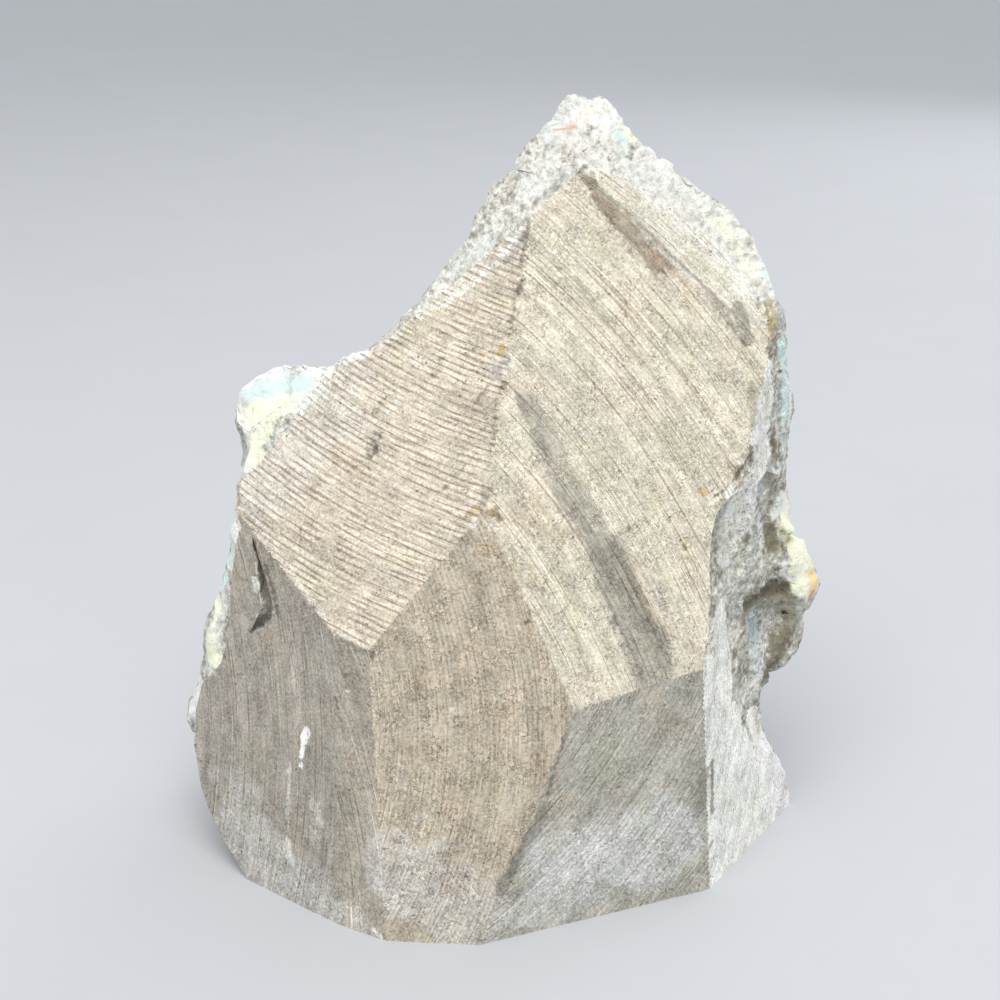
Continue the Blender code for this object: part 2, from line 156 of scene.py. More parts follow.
@dataclass(frozen=True)
class SawCut:
    """One flat cut of the diamond saw, and the marks that its blade left.

    The cut passes through a corner. It faces round the stone, with 0 straight back and +90 to the right,
    and leans back from upright, in degrees. The blade's centre is right of and above the corner, on the cut.
    """

    cut: Cut
    corner: Point
    facing: float
    leaning: float
    blade: tuple[float, float]
    pitch: float
    depth: float
    even: float
    lined: float
    worms: float
    rough: float
    tint: Colour
    natural: bool = False

    # The width of the blade's steps as shares of its pitch, and their length.
    FINE_STEP: ClassVar[tuple[float, float]] = (1.6, 30.0)
    BROAD_STEP: ClassVar[tuple[float, float]] = (4.2, 60.0)
    # Each cut has its own sheet of noise, this far from the next; its broad steps come from further on.
    SHEET_GAP: ClassVar[float] = 5.3
    BROAD_SHIFT: ClassVar[float] = 8.7
    ROUGH_SIZE: ClassVar[float] = 2.3

    @property
    def normal(self) -> Array:
        """The direction that the cut faces."""
        f, lean = math.radians(self.facing), math.radians(self.leaning)
        return np.array([math.sin(f) * math.cos(lean), -math.cos(f) * math.cos(lean), math.sin(lean)])

    def place(self, points: Array) -> tuple[Array, Array]:
        """Where points lie on the blade's sweep.

        Args:
            points: points on the cut.

        Returns:
            The distance from the blade's centre, and the way round it along the marks.
        """
        side = np.cross([0.0, 0.0, 1.0], self.normal)
        across = unit(side) if np.linalg.norm(side) > 1e-6 else RIGHT
        up = np.cross(self.normal, across)
        flat = points - np.array(self.corner)
        x, y = flat @ across - self.blade[0], flat @ up - self.blade[1]
        radius = np.hypot(x, y)
        return radius, np.arctan2(y, x) * float(np.hypot(*self.blade))

    def lift(self, points: Array) -> Array:
        """How far the real surface stands off the flat cut, in soft steps along the blade's sweep."""
        across, along = self.place(points)
        sheet = np.column_stack([across, along, np.full(len(across), self.SHEET_GAP * self.cut.value)])
        (fine, fine_length), (broad, broad_length) = self.FINE_STEP, self.BROAD_STEP
        steps = NOISE.at(sheet, (fine * self.pitch, fine_length, 1.0))
        steps += NOISE.at(sheet + self.BROAD_SHIFT, (broad * self.pitch, broad_length, 1.0))
        return self.depth * steps + self.rough * NOISE.fractal(points, self.ROUGH_SIZE, 3, 0.6)


# Each cut's pitch, depth of steps, share of even grooves, lines, grain and roughness come before its tint.
SAW_CUTS = (
    SawCut(Cut.LEFT_ROOF, (0, 17, 110), -60.4, 47.3, (-60, 0), 1.6, 0.02, 0.0, 0.0, 0.8, 0.3,
           (0.62, 0.62, 0.60), True),
    SawCut(Cut.PEAK_ROOF, (0, 17, 110), -53.4, 56.1, (-60, 0), 1.6, 0.02, 0.0, 0.0, 0.8, 0.3,
           (0.62, 0.62, 0.60), True),
    SawCut(Cut.BACK_LEFT_ROOF, (-25.6, -13.3, 46.2), -26.0, 31.0, (28, 151), 1.12, 0.05, 1.0, 0.45, 0.6, 0.03,
           (0.62, 0.55, 0.45)),
    SawCut(Cut.BACK_RIGHT_ROOF, (7.1, -18.6, 37.1), 20.0, 26.2, (-99, -23), 1.1, 0.05, 0.15, 0.9, 0.9, 0.03,
           (0.65, 0.60, 0.49)),
    SawCut(Cut.RIGHT_ROOF, (39.1, 19.7, 88.1), 31.1, 34.1, (-117, -61), 1.2, 0.07, 0.35, 0.9, 0.6, 0.05,
           (0.65, 0.615, 0.52)),
    SawCut(Cut.BACK_NOSE, (-8.3, -29.3, 0), -4.3, 17.6, (-70, 33), 0.78, 0.03, 0.35, 0.4, 1.0, 0.03,
           (0.49, 0.43, 0.34)),
    SawCut(Cut.LEFT_FLANK, (-31.2, -23.9, 0), -38.8, 12.5, (-109, 10), 1.3, 0.04, 0.1, 0.8, 0.45, 0.03,
           (0.385, 0.35, 0.30)),
    SawCut(Cut.BACK_LEFT_FLANK, (-23.6, -28.1, 0), -29.6, 14.0, (-93.5, -14), 1.2, 0.04, 0.1, 0.8, 0.6, 0.03,
           (0.41, 0.37, 0.31)),
    SawCut(Cut.BACK_RIGHT_FLANK, (31, -12.8, 0), 22.8, 6.0, (-83, 82), 0.9, 0.03, 0.3, 0.7, 0.8, 0.03,
           (0.455, 0.435, 0.375)),
    SawCut(Cut.RIGHT_FOOT, (49.3, 16.4, 0), 57.9, 5.6, (-96.5, 66.7), 1.0, 0.02, 0.0, 0.3, 0.5, 0.06,
           (0.82, 0.82, 0.77)),
)
FOOT_CUT = SawCut(Cut.FOOT, (0, 0, 0), 0, -90, (-160, 40), 1.3, 0.0, 0.5, 0.5, 0.5, 0.0, (0.50, 0.46, 0.39))
# How badly the stone crumbled along the edge between two cuts; other edges are nearly clean.
CRUMBLED_EDGES = {
    frozenset({Cut.BACK_LEFT_ROOF, Cut.BACK_RIGHT_ROOF}): 1.0,
    frozenset({Cut.BACK_RIGHT_ROOF, Cut.RIGHT_ROOF}): 0.5,
    frozenset({Cut.BACK_NOSE, Cut.BACK_LEFT_ROOF}): 0.5,
    frozenset({Cut.BACK_LEFT_ROOF, Cut.BACK_LEFT_FLANK}): 0.6,
    frozenset({Cut.BACK_LEFT_ROOF, Cut.LEFT_FLANK}): 0.6,
    frozenset({Cut.LEFT_FLANK, Cut.BACK_LEFT_FLANK}): 0.0,
    frozenset({Cut.LEFT_ROOF, Cut.BACK_LEFT_ROOF}): 0.4,
}
EDGE_CRUMBLE = 0.15
# What the mesh carries of each cut's marks, at the corners of its faces.
BLADE_MARKS = ("across", "along", "cut", "pitch", "even", "lined", "worms")


class Stain(Enum):
    """What colours the stone in places."""

    SHADE = "shade"
    CHALK = "chalk"
    OCHRE = "ochre"
    RUST = "rust"
    QUARTZ = "quartz"
    CELADON = "celadon"
    BLUE = "blue"
    CREAM = "cream"
    OLIVE = "olive"
    LILAC = "lilac"
    TAN = "tan"
    HAZE = "haze"
    SPECKLE = "speckle"
    AMBER = "amber"
    PIT = "pit"
    RAW = "raw"
    SAWN = "sawn"


@dataclass(frozen=True)
class Eye:
    """Where the studio's camera stands.

    A spot is a place on the stone, named by where it stands in the camera's square view, in steps from the
    view's left and top edges.
    """

    place: Point = (-5.0, -271.0, 165.0)
    tilt: float = 70.0
    lens: float = 62.77
    sensor: float = 36.0
    steps: int = 1000

    def sight(self, spot: Spot) -> Array:
        """The direction of sight to a spot."""
        lean = math.radians(90 - self.tilt)
        ahead = np.array([0.0, math.cos(lean), -math.sin(lean)])
        above = np.array([0.0, math.sin(lean), math.cos(lean)])
        middle = self.steps / 2
        across, down = spot[0] - middle, spot[1] - middle
        return unit(ahead * (self.lens / self.sensor * self.steps) + RIGHT * across - above * down)


EYE = Eye()


class Landing:
    """Finds where lines of sight land on a surface."""

    # A spot just beside the surface lands on it where it is nearest, as far off as the last of these.
    SEARCH = (0, 2, 4, 6, 8, 11, 14)
    DIRECTIONS = 8

    def __init__(self, points: Array, faces: Array) -> None:
        """Takes the surface's points and faces."""
        self.tree = BVHTree.FromPolygons([tuple(p) for p in points], [tuple(f) for f in faces])

    def touch(self, spot: Spot) -> Point | None:
        """Where a line of sight lands.

        Args:
            spot: a spot in the eye's view.

        Returns:
            The point on the surface, or None if there is none near.
        """
        for reach in self.SEARCH:
            for turn in range(self.DIRECTIONS if reach else 1):
                angle = turn * 2 * math.pi / self.DIRECTIONS
                tried = (spot[0] + reach * math.cos(angle), spot[1] + reach * math.sin(angle))
                hit = self.tree.ray_cast(Vector(EYE.place), Vector(EYE.sight(tried)))[0]
                if hit is not None:
                    return tuple(hit)
        return None

    def lay(self, patches: Iterable[Patch]) -> tuple[Patch, ...]:
        """The patches with their paths on the surface."""
        return tuple(replace(p, path=tuple(filter(None, map(self.touch, p.path)))) for p in patches)


@dataclass(frozen=True)
class Patch:
    """A stained or worn place, or painted shade: a ragged band round a path over the stone, sunk or rough by
    some depth.

    Its path is made of spots in the eye's view until a landing lays it on the stone.
    """

    stain: Stain
    radius: float
    strength: float
    ragged: float
    path: tuple[Spot, ...]
    sink: float = 0.0
    grit: float = 0.0

    # How many radii off the path a patch can reach, and where its edge starts and ends.
    REACH: ClassVar[float] = 2.6
    EDGE: ClassVar[tuple[float, float]] = (1.15, 0.6)
    # A path of one spot is a dot this long. The rags are no finer than this, and leave this share of a band.
    DOT: ClassVar[float] = 0.01
    FINEST_RAG: ClassVar[float] = 0.7
    LEAST_SHARE: ClassVar[float] = 0.1

    def mask(self, points: Array) -> Array:
        """How strongly the patch shows at each point, from 0 to its strength."""
        path = np.array(self.path, float) * SIDEWAYS
        points = points * SIDEWAYS
        reach = self.REACH * self.radius
        low, high = path.min(axis=0) - reach, path.max(axis=0) + reach
        rows = np.flatnonzero(((points > low) & (points < high)).all(axis=1))
        close = points[rows]
        nearest = np.full(len(rows), np.inf)
        if len(path) == 1:
            path = np.vstack([path, path + self.DOT])
        for start, end in zip(path[:-1], path[1:]):
            span = end - start
            share = np.clip((close - start) @ span / (span @ span), 0, 1)
            nearest = np.minimum(nearest, np.linalg.norm(close - start - share[:, None] * span, axis=1))
        rag = 1 + self.ragged * NOISE.fractal(close, max(self.radius / 2, self.FINEST_RAG), 2, 0.6)
        mask = np.zeros(len(points))
        width = self.radius * np.maximum(rag, self.LEAST_SHARE)
        mask[rows] = self.strength * smooth(*self.EDGE, nearest / width)
        return mask


@dataclass(frozen=True)
class Cover:
    """The patches, laid on the stone."""

    patches: tuple[Patch, ...]
    grit_size: float = 1.9
    grit_shift: float = 9.0

    def mask(self, points: Array, stain: Stain) -> Array:
        """How strongly a stain shows at each point."""
        return np.max([p.mask(points) for p in self.patches if p.stain is stain], axis=0)

    def lift(self, points: Array) -> Array:
        """How far worn places raise each point, by their grit less their sink."""
        rough = NOISE.fractal(points + self.grit_shift, self.grit_size, 3, 0.7)
        return sum(p.mask(points) * (p.grit * rough - p.sink) for p in self.patches if p.sink or p.grit)


# The places that are sunk or rough as well as coloured: stains, and painted shade in the arch and the vug.
WORN = (
    Patch(Stain.RAW, 3.4, 1.0, 0.5, ((583, 145), (634, 164), (692, 199), (737, 243), (768, 288)), 0.0, 0.3),
    Patch(Stain.RAW, 4.5, 1.0, 0.3, ((784, 321), (785, 387), (784, 444)), 0.0, 0.8),
    Patch(Stain.PIT, 0.4, 0.8, 0.9, ((387, 398), (382, 403)), 0.2),
    Patch(Stain.PIT, 0.4, 0.8, 0.9, ((378, 410), (373, 417)), 0.2),
    Patch(Stain.SHADE, 1.1, 0.7, 0.7, ((368, 460), (374, 446), (378, 430)), 0.1, 0.5),
    Patch(Stain.SHADE, 1.2, 0.5, 0.9, ((382, 418), (386, 404), (394, 396)), 0.1, 0.5),
    Patch(Stain.PIT, 0.85, 0.85, 0.3, ((258, 554), (260, 566)), 0.2, 0.2),
    Patch(Stain.PIT, 1.0, 0.85, 0.4, ((262, 570), (266, 584)), 0.3, 0.3),
    Patch(Stain.PIT, 1.25, 0.85, 0.5, ((267, 594), (269, 608)), 0.3, 0.3),
    Patch(Stain.PIT, 1.0, 0.85, 0.5, ((268, 616), (257, 621)), 0.3, 0.3),
    # The vug on the right: sunk, with painted shade inside it.
    Patch(Stain.PIT, 1.4, 0.4, 0.3, ((770, 530), (773, 545)), 1.4),
    # The arch over the hollow on the right: sunk, with painted shade under its overhang.
    Patch(Stain.PIT, 1.1, 0.95, 0.5, ((747, 606), (754, 597), (768, 591), (786, 588)), 1.0),
    Patch(Stain.RAW, 6.5, 1.2, 0.3, ((560, 122), (600, 118)), 0.0, 0.5),
    Patch(Stain.RAW, 2.2, 1.2, 0.4, ((650, 150), (690, 186), (728, 222), (752, 258), (768, 292)), 0.0, 0.3),
    Patch(Stain.RAW, 3.2, 1.2, 0.3, ((746, 460), (740, 500), (737, 540), (734, 572)), 0.0, 0.7),
    Patch(Stain.RAW, 1.9, 1.2, 0.3, ((744, 596), (752, 625), (753, 660), (754, 700), (754, 728)), 0.0, 0.6),
    Patch(Stain.RAW, 1.5, 1.2, 0.3, ((570, 166), (580, 163), (590, 168)), 0.2, 0.3),
)
# The dark stripes where the blade polished the back.
STRIPES: Marks = {
    Stain.SHADE: [
        (2.2, 0.72, 0.2, (527, 403), (538, 425)), (3.0, 0.67, 0.2, (541, 432), (552, 452), (566, 482)),
        (3.5, 0.72, 0.2, (572, 492), (592, 528)), (4.0, 0.85, 0.2, (603, 550), (618, 585), (630, 612)),
        (4.3, 0.8, 0.2, (636, 625), (648, 652), (652, 666)), (0.8, 0.9, 0.4, (518, 398), (528, 420)),
        (1.1, 1.0, 0.6, (596, 552), (608, 574), (615, 590)),
        (1.0, 1.0, 0.6, (612, 548), (628, 572), (638, 592)),
        (0.9, 1.0, 0.6, (640, 604), (652, 626), (660, 648)), (0.9, 0.9, 0.6, (536, 430), (548, 452)),
        (0.8, 0.9, 0.6, (583, 520), (590, 532)), (1.5, 0.9, 0.3, (738, 308), (748, 340)),
        (0.6, 0.8, 0.6, (700, 282), (718, 305), (736, 330)),
    ],
}
# Dark grey bands along the nose's right edge and at the right end of the foot.
GREY_BANDS: Marks = {
    Stain.PIT: [
        (0.45, 0.7, 0.6, (568, 728), (558, 760), (548, 795)),
        (0.7, 0.45, 0.6, (540, 815), (524, 845), (510, 872)),
    ],
    Stain.SHADE: [
        (1.2, 1.3, 0.35, (548, 806), (532, 834), (516, 862), (500, 892)),
        (0.7, 1.3, 0.5, (545, 810), (530, 838)), (1.2, 0.8, 0.6, (706, 768), (700, 800), (690, 838)),
        (0.5, 1.2, 0.5, (704, 800), (692, 832), (682, 862)), (0.6, 1.0, 0.5, (712, 762), (712, 812)),
        (0.6, 0.9, 0.5, (712, 842), (702, 856)), (1.0, 0.5, 0.6, (308, 846), (345, 856), (382, 880)),
        (0.6, 0.6, 0.6, (300, 735), (300, 780), (300, 835)), (0.5, 0.6, 0.6, (317, 722), (316, 745)),
        (0.9, 0.5, 0.6, (256, 672), (257, 700)),
    ],
    Stain.OLIVE: [(0.7, 0.6, 0.5, (267, 742), (268, 756))],
}
# Brown along the edge below the right roof, painted shade in the crease itself, and rusty specks.
RIGHT_CREASE: Marks = {
    Stain.TAN: [
        (1.1, 1.0, 0.5, (584, 176), (596, 188)), (1.5, 0.95, 0.6, (598, 198), (614, 216)),
        (0.8, 0.8, 0.6, (596, 187), (606, 197), (617, 207)),
        (2.2, 0.85, 0.8, (620, 224), (640, 246), (660, 268)),
        (0.9, 0.6, 0.6, (624, 216), (642, 232), (664, 256)),
        (0.7, 0.45, 0.8, (676, 268), (696, 290), (716, 310)), (2.2, 0.34, 0.8, (612, 172), (632, 198)),
    ],
    # Painted shade in the crease.
    Stain.SHADE: [
        (0.5, 0.8, 0.4, (584, 175), (604, 192), (630, 214), (652, 236), (680, 264), (706, 288), (736, 318)),
    ],
    Stain.RUST: [
        (0.8, 0.3, 0.8, (590, 180), (602, 190)), (0.5, 0.5, 0.8, (480, 547), (492, 549)),
        (1.0, 0.35, 0.8, (536, 770), (545, 750)), (0.7, 0.35, 0.8, (276, 655), (278, 672)),
    ],
    Stain.OCHRE: [
        (0.7, 0.55, 0.8, (684, 300), (696, 318)), (0.6, 0.62, 0.7, (478, 548), (493, 547)),
        (0.4, 0.5, 0.7, (486, 552), (489, 556)), (1.6, 0.3, 0.8, (500, 548), (508, 575), (520, 610)),
        (1.8, 0.35, 0.8, (676, 515), (680, 535)), (0.5, 0.6, 0.7, (532, 565), (536, 585)),
        (1.6, 0.3, 0.8, (400, 455), (430, 440)),
    ],
}
# The nose's tip: a grey knob, two ochre arcs and white grains.
NOSE_TIP: Marks = {
    Stain.LILAC: [(1.0, 0.7, 0.5, (486, 490), (483, 504))],
    Stain.SHADE: [
        (0.7, 0.7, 0.5, (484, 496), (484, 504)), (0.6, 0.8, 0.5, (476, 508), (486, 502)),
        (1.2, 0.5, 0.7, (466, 540), (476, 534)),
    ],
    Stain.TAN: [
        (0.7, 0.9, 0.6, (468, 516), (474, 509), (481, 512)),
        (0.7, 0.9, 0.6, (488, 513), (495, 509), (501, 519)),
    ],
    Stain.OCHRE: [(0.6, 0.8, 0.6, (470, 514), (476, 509)), (0.5, 0.7, 0.6, (493, 511), (500, 518))],
    Stain.PIT: [(0.3, 0.8, 0.5, (496, 511), (501, 519))],
    Stain.CHALK: [(0.6, 0.7, 0.6, (473, 525)), (0.8, 0.7, 0.6, (492, 526), (498, 528))],
    Stain.OLIVE: [(0.4, 0.6, 0.7, (471, 515), (477, 513)), (0.5, 0.7, 0.7, (492, 513), (499, 519))],
}
# The broken groove and the short marks in the left roof.
BROKEN_GROOVE: Marks = {
    Stain.PIT: [
        (0.3, 0.9, 0.7, (382, 432), (380, 437)), (0.45, 0.9, 0.7, (378, 446), (375, 452)),
        (0.3, 0.9, 0.7, (368, 466)), (0.25, 0.8, 0.7, (390, 412)),
        (0.6, 0.8, 0.8, (376, 444), (372, 456)), (0.5, 0.7, 0.8, (384, 400), (376, 412)),
        (0.5, 0.6, 0.6, (442, 358), (438, 368), (432, 377)),
        (0.4, 0.6, 0.6, (490, 383), (480, 398), (472, 406)), (0.35, 0.7, 0.8, (472, 457), (466, 466)),
        (0.3, 0.6, 0.9, (466, 466), (452, 480), (438, 495)), (0.3, 0.6, 0.7, (304, 438), (309, 441)),
        (0.3, 0.5, 0.7, (326, 440), (331, 438)),
    ],
    Stain.SHADE: [(0.6, 0.6, 0.6, (381, 420), (388, 424))],
    Stain.CHALK: [
        (0.9, 0.5, 1.0, (376, 436), (384, 416), (398, 400)),
        (0.9, 0.5, 0.7, (408, 352), (425, 366), (432, 372)), (0.6, 0.5, 0.7, (322, 488), (332, 496)),
    ],
}
# The ridge between the two back roofs: grey skin at its top, notches and crystals down it.
ROOF_RIDGE: Marks = {
    Stain.LILAC: [
        (1.5, 0.9, 0.4, (525, 226), (518, 240), (508, 256)), (1.2, 0.9, 0.5, (503, 362), (497, 374)),
    ],
    Stain.SHADE: [
        (0.5, 0.9, 0.6, (529, 222), (525, 244), (521, 264)),
        (0.5, 0.7, 0.7, (497, 402), (494, 425), (492, 445)),
    ],
    Stain.PIT: [
        (0.5, 0.85, 0.6, (521, 280), (518, 294)), (0.35, 0.7, 0.8, (514, 303), (513, 318), (510, 330)),
        (0.5, 0.8, 0.6, (505, 380), (500, 392)), (0.3, 0.6, 0.9, (491, 450), (489, 470)),
    ],
    Stain.OCHRE: [(0.55, 1.2, 0.5, (502, 346), (500, 353))],
    Stain.QUARTZ: [(0.5, 0.8, 0.5, (505, 340))],
}
# Pocks, pits and crystals, and painted shadow under the broken step at the right edge of the back right roof.
POCKS: Marks = {
    Stain.OCHRE: [
        (0.9, 0.9, 0.4, (687, 544)), (0.5, 0.7, 0.5, (630, 531)),
        (0.6, 0.9, 0.6, (700, 490), (706, 494)), (0.5, 0.9, 0.5, (748, 401)),
        (2.8, 0.48, 0.7, (538, 505), (552, 535)),
    ],
    Stain.PIT: [
        (0.25, 0.8, 0.5, (680, 540), (684, 538), (690, 539)), (0.25, 0.8, 0.5, (683, 546), (687, 549)),
        (0.4, 0.8, 0.4, (629, 529)), (0.4, 0.8, 0.4, (608, 657)),
        (0.4, 0.7, 0.5, (614, 616), (617, 624)), (0.3, 0.7, 0.6, (562, 322), (566, 326)),
        (0.5, 0.6, 0.8, (698, 408), (704, 412), (712, 420)), (0.4, 0.6, 0.7, (554, 262), (560, 268)),
        # The paths from 753, 451 to 714, 497 are painted shadow under the broken step; the rest are pits.
        (0.35, 0.9, 0.5, (525, 623), (529, 621)), (0.3, 1.1, 0.4, (753, 451), (743, 466), (736, 478)),
        (0.25, 0.9, 0.5, (736, 478), (724, 490), (714, 497)), (0.3, 0.7, 0.5, (747, 398)),
    ],
    Stain.QUARTZ: [(0.4, 0.9, 0.5, (688, 544)), (0.3, 0.9, 0.5, (519, 628))],
    Stain.OLIVE: [(0.5, 0.7, 0.5, (622, 594)), (0.6, 0.6, 0.5, (606, 590))],
}
# The left flank: its chip, quartz nick, streak and smudges.
LEFT_FLANK: Marks = {
    Stain.PIT: [
        (0.5, 0.95, 0.4, (254, 540), (256, 550)), (0.5, 0.9, 0.4, (262, 625), (250, 631)),
        (0.35, 1.1, 0.4, (266, 566), (274, 594), (278, 616)),
        (0.3, 0.6, 0.5, (299, 726), (298, 738), (299, 758)), (0.45, 1.0, 0.4, (373, 654), (372, 658)),
        (0.3, 0.8, 0.5, (345, 677), (350, 675)), (0.3, 0.8, 0.5, (335, 698), (338, 708)),
        (0.3, 0.8, 0.5, (304, 604)),
    ],
    Stain.TAN: [(1.6, 0.9, 0.5, (258, 554), (264, 578), (269, 610))],
    Stain.CHALK: [
        (0.4, 0.9, 0.6, (262, 607), (268, 603)), (0.7, 0.9, 0.5, (254, 578), (256, 589)),
        (0.5, 0.65, 0.5, (290, 765), (288, 800), (287, 840)),
        (0.9, 0.75, 0.5, (287, 838), (288, 852), (292, 862)),
        (1.3, 0.55, 0.7, (313, 800), (318, 818), (312, 836)), (0.5, 0.6, 0.6, (227, 805), (232, 814)),
        (0.7, 0.4, 0.8, (248, 815), (236, 828)), (0.5, 0.8, 0.6, (374, 930), (382, 936)),
        (2.6, 0.45, 0.8, (262, 868), (300, 888), (350, 912)), (1.6, 0.35, 0.8, (232, 760), (236, 800)),
    ],
    Stain.SHADE: [
        (0.5, 0.5, 0.5, (245, 508), (247, 522), (250, 532)), (4.5, 0.72, 0.9, (312, 760), (325, 800)),
        (2.0, 0.4, 0.9, (258, 680), (262, 720)),
    ],
    Stain.QUARTZ: [
        (0.75, 1.5, 0.35, (307, 731), (304, 740)), (0.45, 1.5, 0.35, (304, 740), (301, 757)),
        (0.35, 1.5, 0.35, (301, 764), (301, 768)), (0.25, 1.0, 0.4, (376, 652)),
        (0.3, 0.9, 0.4, (347, 691)), (0.4, 0.8, 0.5, (348, 908)),
    ],
}
# Paler stone at the foot of the nose and of the right flank.
PALE_FOOT: Marks = {
    Stain.CHALK: [
        (2.0, 0.45, 0.9, (400, 888), (430, 895)), (1.4, 0.6, 0.8, (385, 880), (392, 905)),
        (2.5, 0.35, 0.9, (585, 868), (610, 866)), (1.5, 0.4, 0.9, (398, 775), (404, 790)),
        (1.2, 0.4, 0.9, (420, 700), (424, 730)), (1.0, 0.5, 0.8, (470, 705), (450, 712)),
        (1.2, 0.4, 0.9, (640, 775), (660, 780)), (0.9, 0.6, 0.6, (604, 868)),
    ],
    Stain.HAZE: [
        (8.5, 0.74, 0.3, (575, 868), (620, 856), (668, 842)),
        (7.0, 0.32, 0.5, (268, 480), (300, 440), (335, 400)),
        (8.0, 0.4, 0.5, (240, 822), (280, 872), (320, 905)), (4.0, 0.5, 0.4, (520, 915), (560, 900)),
        (7.5, 0.42, 0.5, (400, 872), (430, 888), (470, 910)),
    ],
    Stain.TAN: [(1.0, 0.35, 0.6, (520, 930), (600, 912), (660, 896), (704, 882))],
    Stain.PIT: [(0.35, 0.6, 0.6, (551, 852), (556, 854))],
}
# The lighter streaks of the right roof.
LIGHT_STREAKS: Marks = {
    Stain.CHALK: [
        (0.9, 0.35, 0.6, (610, 165), (650, 200), (700, 245), (745, 300)),
        (0.6, 0.5, 0.6, (640, 232), (680, 268), (712, 300)),
        (0.7, 0.45, 0.6, (600, 340), (640, 385), (668, 420)),
        (0.5, 0.5, 0.6, (690, 400), (720, 440), (742, 466)),
        (0.8, 0.5, 0.6, (650, 570), (668, 620), (682, 660)),
    ],
}
# The right side, from the top: ochre, celadon skin, grey and white rind, the vug and the bulge.
RIGHT_SIDE: Marks = {
    Stain.OCHRE: [
        (1.2, 0.75, 0.7, (770, 305), (773, 318), (773, 332)), (1.0, 0.6, 0.7, (768, 395), (766, 420)),
        (0.6, 0.5, 0.9, (742, 520), (738, 545)), (1.0, 0.5, 0.6, (773, 530), (772, 545)),
    ],
    Stain.LILAC: [(0.9, 0.8, 0.6, (767, 297), (768, 306))],
    Stain.OLIVE: [
        (0.6, 0.9, 0.7, (766, 306), (770, 322), (774, 330)), (1.0, 1.0, 0.5, (774, 442), (776, 455)),
        (1.0, 0.5, 0.9, (740, 560), (730, 590)), (1.2, 0.7, 0.9, (722, 538), (726, 556)),
        (1.0, 0.6, 0.8, (748, 540), (738, 556), (735, 575)), (0.8, 0.6, 0.8, (722, 500), (716, 540)),
        (1.6, 0.9, 0.3, (769, 527), (773, 546)),
    ],
    Stain.CELADON: [
        (1.3, 1.1, 0.3, (781, 342), (785, 365), (787, 392), (786, 418)),
        (0.7, 0.8, 0.4, (784, 430), (783, 470)), (1.0, 0.7, 0.5, (777, 498), (775, 512)),
        (1.0, 0.5, 0.5, (784, 556), (786, 566), (794, 568)),
    ],
    Stain.QUARTZ: [
        (0.6, 1.0, 0.4, (789, 380), (791, 400), (788, 425)), (1.3, 0.6, 0.5, (757, 430), (756, 455)),
        (1.8, 0.75, 0.8, (752, 488), (751, 515)), (1.4, 0.7, 0.9, (734, 512), (738, 528)),
        (0.7, 1.0, 0.5, (759, 515), (761, 545)), (0.5, 1.2, 0.4, (784, 562), (782, 574), (796, 578)),
    ],
    Stain.SHADE: [
        (1.0, 0.7, 0.5, (752, 385), (752, 405), (754, 425)),
        (1.2, 0.8, 0.7, (770, 462), (765, 478), (774, 492)), (1.4, 0.7, 1.0, (722, 570), (727, 592)),
    ],
    Stain.PIT: [
        (0.4, 0.9, 0.5, (772, 373)), (0.7, 0.85, 0.6, (774, 428), (773, 440)),
        (0.5, 0.6, 0.9, (722, 500), (720, 520)), (0.5, 0.6, 0.9, (744, 556), (738, 566)),
        (0.8, 0.8, 0.7, (748, 532), (745, 548)),
    ],
    Stain.BLUE: [
        (1.0, 0.8, 0.5, (762, 468), (760, 488), (762, 500)), (1.6, 0.6, 0.7, (730, 565), (726, 585)),
    ],
    Stain.CHALK: [
        (3.2, 1.2, 0.7, (738, 495), (734, 530), (732, 575)),
        (1.6, 1.1, 0.6, (754, 470), (752, 500), (750, 525)),
    ],
    Stain.CREAM: [
        (2.0, 0.5, 1.0, (736, 500), (734, 530), (742, 560)), (1.4, 0.5, 1.0, (762, 560), (752, 585)),
        (2.4, 1.4, 0.25, (786, 522), (794, 540), (802, 556), (808, 566)),
        (2.0, 1.2, 0.4, (796, 572), (800, 588)), (1.8, 1.2, 0.4, (804, 552), (812, 562)),
    ],
    Stain.SPECKLE: [
        (4.0, 0.7, 0.3, (742, 480), (736, 520), (734, 560), (740, 600)),
        (4.0, 0.65, 0.3, (762, 470), (764, 520), (764, 560)),
        (5.0, 0.75, 0.3, (760, 610), (770, 650), (756, 700)), (3.0, 0.8, 0.3, (766, 380), (764, 430)),
    ],
    Stain.RUST: [(0.5, 0.4, 0.9, (716, 600), (716, 625)), (0.7, 0.9, 0.5, (813, 592), (810, 598))],
    Stain.AMBER: [(1.0, 0.6, 0.6, (812, 562), (808, 572)), (1.2, 1.2, 0.3, (813, 574), (814, 590))],
}
